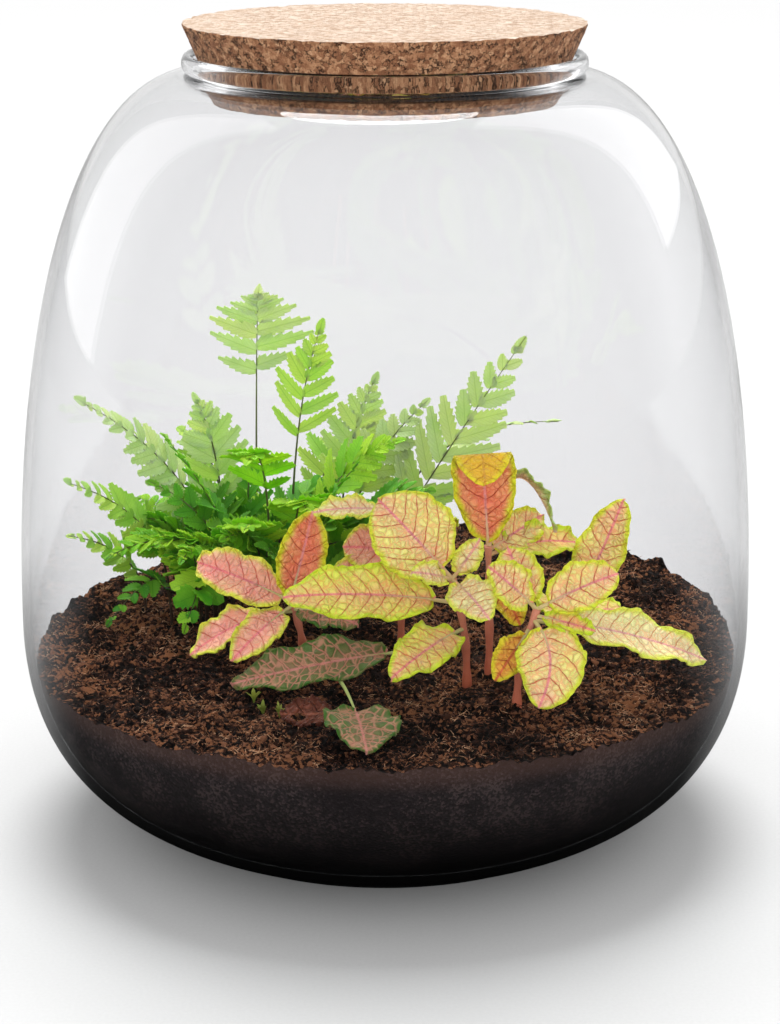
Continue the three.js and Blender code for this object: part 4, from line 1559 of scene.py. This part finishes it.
@dataclass(frozen=True)
class LeafBuilder:
    """Shapes nerve plant leaves. Sizes in millimetres."""

    columns: int = 20
    rows: int = 40
    wave_share: float = 0.11
    wave_rate: float = 17.0
    wave_shift: float = 2.0
    ripple: float = 0.4
    ripple_rate: float = 52.0
    scallop: float = 0.02
    scallop_rate: float = 29.0
    notch: float = 0.014
    notch_rate: float = 71.0
    quilt: float = 0.4
    side_gap: float = VEIN_GAP
    thickness: float = 0.45
    flap_radius: float = 1.6
    flap_start: float = 0.88

    def rib_of(self, leaf: Leaf, start: Vector) -> Rib:
        """The line of a leaf and its stalk.

        Args:
            leaf: Which leaf.
            start: Where its stalk leaves the stem, in metres.

        Returns:
            The rib.
        """
        facing = Vector(leaf.face).normalized()
        tip = in_metres(leaf.tip)
        right = (tip - start).cross(facing).normalized()
        handle = start.lerp(tip, 0.5) + facing * leaf.arch * MM + right * leaf.sway * MM
        return Rib(start, handle, tip, right)

    def half_width(self, leaf: Leaf, share: float) -> float:
        """Half the leaf's width at a share of its blade.

        Args:
            leaf: Which leaf.
            share: From 0 at the blade's foot to 1 at its tip.

        Returns:
            Half the width in millimetres.
        """
        if leaf.flap:
            return leaf.width / 2 * math.sin(math.pi * min(1.0, share) ** 1.05) ** 0.5
        power = 0.54 - leaf.blunt * min(1.0, max(0.0, 3 * share - 1))
        notch = 1 - 0.35 * leaf.blunt * math.exp(-(((share - 0.9) / 0.03) ** 2))
        return leaf.width / 2 * notch * max(0.0, math.sin(math.pi * share**0.85)) ** power

    def add(
        self,
        bm: BMesh,
        leaf: Leaf,
        start: Vector,
        seed: float,
        slots: tuple[int, int],
        worn: Callable[[float, float], bool] | None = None,
    ) -> None:
        """Adds a leaf's blade.

        Args:
            bm: The plant's mesh.
            leaf: Which leaf.
            start: Where its stalk leaves the stem, in metres.
            seed: A number that sets its ripples and its veins apart from its neighbours'.
            slots: Material slots of its upper face and underside.
            worn: Tells for a place on the grid whether the blade has worn through there.
        """
        rib = self.rib_of(leaf, start)
        length = rib.length() * (1 - leaf.stalk) / MM
        wave = self.wave_share * min(leaf.width, 0.45 * length)

        def half_at(share: float) -> float:
            """Half the blade's uneven width at a share of it."""
            uneven = self.scallop * math.sin(self.scallop_rate * share + seed)
            uneven += self.notch * math.sin(self.notch_rate * share + 2 * seed)
            return self.half_width(leaf, share) * (1 + uneven)

        def place(across: float, share: float) -> Vector:
            """The point of the blade at a place on its grid.

            Args:
                across: From -1 to 1.
                share: From 0 at its foot to 1 at its tip.

            Returns:
                The point in metres.
            """
            half = half_at(share)
            reach = share * (1 + leaf.flap)
            turn = reach * self.wave_rate + (self.wave_shift if across > 0 else 0)
            out = abs(across)
            lifted = out * half * leaf.fold + across**2 * wave * math.sin(turn)
            lifted += out**5 * self.ripple * math.sin(share * self.ripple_rate + across + seed * 3)
            spread = out * half
            start_mm = share * length * (1 + leaf.flap) - spread * (VEIN_SLANT + VEIN_CURVE * spread)
            valley = 0.5 + 0.5 * math.cos(math.tau * start_mm / self.side_gap)
            lifted -= self.quilt * valley * min(1, 3 * out)
            bend_at = self.flap_start if leaf.flap else 1.0
            frame = rib.frame(leaf.stalk + (1 - leaf.stalk) * min(bend_at, reach))
            if reach <= bend_at:
                return frame.at(across * half * MM, 0, lifted * MM)
            # A tip that folds over bends towards its upper face and hangs down
            over = (reach - bend_at) * length
            bend = min(over / self.flap_radius, 2.5)
            rest = max(0.0, over - bend * self.flap_radius)
            forward = self.flap_radius * math.sin(bend) + rest * math.cos(bend)
            rise = self.flap_radius * (1 - math.cos(bend)) + rest * math.sin(bend) + 0.5
            return frame.at(across * half * MM, forward * MM, (rise + lifted * 0.4) * MM)

        def marks(across: float, share: float) -> tuple[Pair, Pair]:
            """The blade's two map values at a place on its grid.

            Args:
                across: From -1 to 1.
                share: From 0 at its foot to 1 at its tip.

            Returns:
                The place on the blade, and the distance to its edge.
            """
            half = half_at(share)
            along = share * (1 + leaf.flap) * length + 46 * seed
            return (across * half / UV_SPAN, along / UV_SPAN), ((1 - abs(across)) * half / UV_SPAN, 0)

        add_blade(bm, (self.columns, self.rows), place, marks, self.thickness * MM, slots, worn)


@dataclass(frozen=True)
class NervePlants:
    """The nerve plants, stem by stem. Sizes in millimetres."""

    soil: SoilShape
    stems: tuple[LeafyStem, ...]
    builder: LeafBuilder = LeafBuilder()
    stem_half_width: float = 1.35
    petiole_half_width: float = 0.7
    petiole_sunk: float = 0.35
    petiole_reach: float = 0.62
    petiole_taper: float = 0.75
    node_swell: float = 0.16
    stem_taper: float = 0.25
    stem_seed: float = 1.7
    leaf_seed: float = 0.77

    def build(self) -> None:
        """Makes a piece for each leafy stem."""
        for i, stem in enumerate(self.stems):
            self.stem_piece(stem, i)

    def stem_piece(self, stem: LeafyStem, number: int) -> Object:
        """Makes one leafy stem.

        Args:
            stem: Which one.
            number: Its place in the list.

        Returns:
            The stem's piece.
        """
        bm = new_mesh()
        looks = [LeafLook.GOLD, *dict.fromkeys(leaf.look for leaf in stem.leaves)]
        finishes = (NERVE_STEM, NERVE_PETIOLE, *(look.value for look in looks))
        ground = self.soil.root(stem.root)
        top = in_metres(stem.top)
        handle = Vector((ground.x, ground.y, (ground.z + top.z) / 2))
        rib = Rib(ground, handle, top, Vector((1, 0, 0)))
        self.add_stem(bm, stem, rib)
        for i, leaf in enumerate(stem.leaves):
            start = rib.point(leaf.at)
            slot = 2 + looks.index(leaf.look)
            seed = number * self.stem_seed + i * self.leaf_seed
            self.builder.add(bm, leaf, start, seed, (slot, 2 if leaf.flap else slot))
            self.add_petiole(bm, leaf, start)
        nodes = (f"nerve_plant_{stem.name}",)
        return finish_piece(bm, f"leafy_stem_{stem.name}", finishes, nodes)

    def add_stem(self, bm: BMesh, stem: LeafyStem, rib: Rib) -> None:
        """Adds the stem, thicker at its nodes.

        Args:
            bm: The plant's mesh.
            stem: Which stem.
            rib: The line that it follows.
        """
        half = self.stem_half_width * stem.thin * MM
        stations = [(self.soil.buried(rib.frame(0)), half, half)]
        for i in range(25):
            share = i / 24
            swell = 1 + self.node_swell * math.cos(share * 3 * math.tau) - self.stem_taper * share
            stations.append((rib.frame(share), half * swell, half * swell))
        add_tube(bm, stations, 10, 0)

    def add_petiole(self, bm: BMesh, leaf: Leaf, start: Vector) -> None:
        """Adds the stalk of a leaf and the lower part of its rib.

        Args:
            bm: The plant's mesh.
            leaf: Which leaf.
            start: Where the stalk leaves the stem, in metres.
        """
        rib = self.builder.rib_of(leaf, start)
        half = self.petiole_half_width * MM
        stations = []
        for i in range(13):
            share = i / 12
            frame = rib.frame(share * (leaf.stalk + (1 - leaf.stalk) * self.petiole_reach))
            sunk = replace(frame, point=frame.at(0, 0, -self.petiole_sunk * MM))
            width = half * (1 - self.petiole_taper * share)
            stations.append((sunk, width, width))
        add_tube(bm, stations, 8, 1)


STEMS = (
    LeafyStem(
        "front_right", (39, -66), (44.5, -66, 87),
        (
            Leaf((30, -76, 103), 3, 13, (-0.3, -1, 0.9)), Leaf((68, -66, 98), 4, 15, (0, -1, 0.8)),
            Leaf((36, -56, 103), 4, 13, (0, -1, 0.4), at=0.97),
            Leaf((44, -87, 64), 5, 20, (0, -1, 0.9), at=0.9, sway=-8),
            Leaf((97, -46, 64), 9, 15, (0, -0.8, 1), LeafLook.CREAM, at=0.88, stalk=0.2),
            Leaf((32, -80, 70), 2, 10, (0, -1, 0.7), LeafLook.ORANGE, at=0.8),
            Leaf((61, -74, 83), 1, 7, (0, -1, 1), LeafLook.LIME, at=0.94),
        ),
    ),
    LeafyStem(
        "front_middle", (25, -42), (20, -56, 93),
        (
            Leaf((-2, -54, 117), 5, 25, (0, -1, 0.5)),
            Leaf((28, -58, 106), 2, 8, (0.2, -1, 0.5), LeafLook.CREAM),
            Leaf((8, -68, 99), 2, 8, (0, -1, 0.8), LeafLook.CREAM),
            Leaf((30, -78, 88), 4, 14, (0, -1, 0.8), LeafLook.CREAM),
            Leaf((-30, -64, 90), 8, 18, (0, -1, 0.9), LeafLook.LIME, at=0.75),
            Leaf((2, -78, 70), 5, 15, (0.2, -0.7, 1), LeafLook.LIME, at=0.5),
            Leaf((-46, -56, 60), 5, 16, (0, -0.7, 1), LeafLook.OLD, at=0.35, stalk=0.34),
        ),
    ),
    LeafyStem(
        "back_middle", (32, -36), (31, -42, 99),
        (
            Leaf((29, -38, 128), 3, 19, (0, -1, 0.1), LeafLook.RED, stalk=0.05, flap=0.4),
            Leaf((52, -37, 102), 38, 8, (-0.1, 0.2, 1), LeafLook.GREY, stalk=0.3, fold=0.5),
            Leaf((60, -33, 97), 7, 13, (0, -0.7, 1), LeafLook.LIME, at=0.93, stalk=0.1),
            Leaf((48, -32, 106), 2, 13, (0, -1, 0.5), at=0.96, stalk=0.1),
            Leaf((40, -60, 80), 3, 10, (0, -1, 0.8), LeafLook.ORANGE, at=0.85),
        ),
    ),
    LeafyStem(
        "right", (50, -46), (56, -48, 80),
        (
            Leaf((71, -44, 114), -5, 15, (-0.4, -1, 0.2), stalk=0.1),
            Leaf((74, -36, 76), 5, 12, (0, -0.3, 1), LeafLook.LIME, at=0.85),
            Leaf((52, -22, 76), 5, 13, (0, 0.3, 1), LeafLook.LIME, at=0.7),
        ),
    ),
    LeafyStem(
        "middle", (5, -24), (5, -34, 107),
        (
            Leaf((-22, -37, 108), 4, 9, (0, -0.6, 1), LeafLook.CREAM, stalk=0.25),
            Leaf((-13, -30, 95), 4, 15, (0, -1, 0.5), LeafLook.PINK, at=0.72, stalk=0.1),
            Leaf((-17, -36, 88), 5, 13, (0, -1, 0.7), LeafLook.PINK, at=0.5),
            Leaf((22, -16, 98), 5, 14, (0.1, 0.2, 1), LeafLook.LIME, at=0.8),
        ),
    ),
    LeafyStem(
        "left", (-25, -32), (-29, -34, 79),
        (
            Leaf((-57, -36, 92), 4, 15, (0, -1, 0.8), LeafLook.PINK, stalk=0.08, blunt=0.3),
            Leaf((-22, -28, 106), 3, 15, (0.1, -1, 0.2), LeafLook.RED, stalk=0.05),
            Leaf((-46, -52, 66), 5, 12, (0, -1, 0.9), LeafLook.PINK, at=0.93),
            Leaf((-60, -36, 62), 9, 13, (0, -0.6, 1), LeafLook.PINK, at=0.85, stalk=0.3),
            Leaf((-8, -48, 76), 4, 12, (0, -0.8, 1), LeafLook.OLD, at=0.88, stalk=0.1),
        ),
    ),
    LeafyStem(
        "low_shoot", (-14, -44), (-15, -47, 60),
        (Leaf((-5, -105, 58), 7, 22, (0.2, -0.5, 1), LeafLook.OLD, stalk=0.6),), 0.7,
    ),
)


@dataclass(frozen=True)
class Litter:
    """What lies on the soil: a dead leaf and three sprigs of moss. Sizes in millimetres."""

    soil: SoilShape
    leaf_foot: Triple = (-14.5, -76.5, 58.7)
    leaf: Leaf = Leaf((-30.5, -76, 58.1), -1, 11, (0, -0.5, 0.87), LeafLook.DEAD, stalk=0.06)
    hole: Pair = (-0.25, 0.3)
    hole_size: Pair = (0.34, 0.3)
    sprigs: tuple[Pair, ...] = ((-36, -66), (-39, -61), (-31, -70))
    sprig_leaves: int = 9
    sprig_spread: Pair = (1.0, 1.8)
    sprig_height: Pair = (2.0, 3.0)
    sprig_half_width: Pair = (0.35, 0.3)
    seed: int = 3

    def fallen_leaf(self) -> Object:
        """Makes the dead leaf with its worn hole.

        Returns:
            The leaf's piece.
        """
        bm = new_mesh()
        builder = LeafBuilder(wave_share=0.09, quilt=0.5, ripple=0.5, side_gap=2.6, thickness=0.35)

        def worn(across: float, along: float) -> bool:
            """Whether a place lies in the hole."""
            offsets = (across - self.hole[0], along - self.hole[1])
            return math.hypot(*(offset / size for offset, size in zip(offsets, self.hole_size))) < 1

        builder.add(bm, self.leaf, in_metres(self.leaf_foot), 2.0, (0, 0), worn)
        return finish_piece(bm, "dead_leaf", (LeafLook.DEAD.value,), ("fallen_leaf",))

    def moss(self) -> Object:
        """Makes the small green sprigs.

        Returns:
            The sprigs' piece.
        """
        draw = random.Random(self.seed)
        bm = new_mesh()
        for sprig in self.sprigs:
            for _ in range(self.sprig_leaves):
                start = self.soil.root(sprig) - UP * 1.5 * MM
                turn = draw.random() * math.tau
                out = Vector((math.cos(turn), math.sin(turn), 0)) * drawn(draw, self.sprig_spread) * MM
                tip = start + out + UP * drawn(draw, self.sprig_height) * MM
                rib = Rib(start, start + UP * 2.5 * MM, tip, out.cross(UP).normalized())
                half = drawn(draw, self.sprig_half_width) * MM

                def place(across: float, share: float, rib: Rib = rib, half: float = half) -> Vector:
                    """The point of the small leaf at a place on its grid."""
                    width = half * (0.25 + 0.75 * math.sin(math.pi * share**1.4)) if share < 1 else 0.0
                    return rib.frame(share).at(across * width)

                add_blade(bm, (2, 6), place, lambda across, share: ((across, share), (0, 0)), 0.15 * MM)
        return finish_piece(bm, "moss_sprigs", (MOSS,))


# Studio


@dataclass(frozen=True)
class Softbox:
    """A large lamp that the glass mirrors as a soft band, or not at all. Metres and watts."""

    name: str
    place: Triple
    aim: Triple
    size: Pair
    power: float
    mirrored: bool = True

    def build(self) -> None:
        """Makes the lamp and turns it to what it lights."""
        data = bpy.data.lights.new(self.name, "AREA")
        data.shape = "RECTANGLE"
        data.size, data.size_y = self.size
        data.energy = self.power
        lamp = new_object(self.name, data)
        lamp.location = self.place
        way = Vector(self.aim) - Vector(self.place)
        lamp.rotation_euler = way.to_track_quat("-Z", "Y").to_euler()
        lamp.visible_glossy = self.mirrored
        lamp.visible_transmission = self.mirrored


@dataclass(frozen=True)
class Studio:
    """The plain pale floor, the soft light and the camera at the photo's angle.

    The glass mirrors the two softboxes and little else, while its outline stays light: in what it mirrors,
    the floor in front is painted dark, and the room's light is dimmed in front and kept behind.
    """

    softboxes: tuple[Softbox, ...]
    room: str = "FFFFFF"
    room_strength: float = 1.02
    behind_strength: float = 0.92
    mirrored_front_strength: float = 0.04
    overhead_strength: float = 3.2
    overhead_angle: float = 30.0
    overhead_from: Triple = (-0.02, 0.5, 1.0)
    camera_place: Triple = (0.00152, -0.7788, 0.3251)
    camera_tilt: float = 73.69
    lens: float = 89.85
    film_height: float = 36.0
    floor_half_size: float = 12.0

    def build(self) -> None:
        """Makes the whole studio."""
        self.add_floor()
        self.add_room()
        self.add_overhead()
        self.add_camera()
        for softbox in self.softboxes:
            softbox.build()
        scene = bpy.context.scene
        scene.view_settings.view_transform = "Standard"
        scene.cycles.use_denoising = True
        scene.cycles.caustics_reflective = False
        scene.cycles.caustics_refractive = False
        scene.cycles.max_bounces = 9
        scene.cycles.transmission_bounces = 8
        scene.cycles.transparent_max_bounces = 8

    def add_floor(self) -> None:
        """Makes the floor."""
        bm = bmesh.new()
        bmesh.ops.create_grid(bm, x_segments=4, y_segments=4, size=self.floor_half_size)
        mesh = bpy.data.meshes.new("studio_floor")
        bm.to_mesh(mesh)
        bm.free()
        mesh.materials.append(material_of(StudioPaper()))
        floor = new_object("studio_floor", mesh)

    def add_room(self) -> None:
        """Makes the even light that comes from all round, and that the glass hardly mirrors."""
        world = bpy.data.worlds.new("studio_room")
        add = clear_nodes(world)
        path = add("LightPath")
        place = add("TexCoord").outputs["Object"]
        way = add("SeparateXYZ", (place,))
        mirror_dimmed = add("MapRange", (way.outputs[1], 0.0, 0.35, self.mirrored_front_strength, self.behind_strength))
        strength = add("Mix", {
            0: path.outputs["Glossy Depth"], 2: self.room_strength, 3: mirror_dimmed,
        }, data_type="FLOAT", clamp_factor=True)
        room = add("Background", {"Color": linear(self.room), "Strength": strength})
        add("OutputWorld", {"Surface": room})
        bpy.context.scene.world = world

    def add_overhead(self) -> None:
        """Makes the wide overhead light, far enough away to light the whole floor alike."""
        data = bpy.data.lights.new("overhead_light", "SUN")
        data.energy = self.overhead_strength
        data.angle = math.radians(self.overhead_angle)
        lamp = new_object("overhead_light", data)
        lamp.rotation_euler = (-Vector(self.overhead_from)).to_track_quat("-Z", "Y").to_euler()
        lamp.visible_glossy = False

    def add_camera(self) -> None:
        """Makes the camera."""
        data = bpy.data.cameras.new("camera")
        data.sensor_fit = "VERTICAL"
        data.sensor_height = self.film_height
        data.lens = self.lens
        data.clip_start = 0.01
        camera = new_object("camera", data)
        camera.location = self.camera_place
        camera.rotation_euler = (math.radians(self.camera_tilt), 0, 0)
        bpy.context.scene.camera = camera


SOFTBOXES = (
    Softbox("left_softbox", (-1.0, 0.61, 1.3), (0, 0.61, 1.3), (0.72, 2.3), 4.0),
    Softbox("right_softbox", (1.0, 0.95, 1.75), (0, 0.95, 1.75), (1.1, 2.8), 11.0),
    Softbox("front_fill", (0, -1.3, 0.4), (0, 0, 0.1), (1.6, 0.6), 6.5, False),
)


def main() -> None:
    """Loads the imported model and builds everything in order."""
    logging.basicConfig(level=logging.INFO, format="%(message)s")
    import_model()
    jar = JarShape()
    soil_shape = SoilShape()
    GlassJar(jar).build()
    CorkStopper().build()
    soil = Soil(jar, soil_shape)
    soil.bed()
    soil.crumbs()
    soil.fibres()
    FernClump(soil_shape, FRONDS).build()
    NervePlants(soil_shape, STEMS).build()
    litter = Litter(soil_shape)
    litter.fallen_leaf()
    litter.moss()
    Studio(SOFTBOXES).build()


if __name__ == "__main__":
    main()
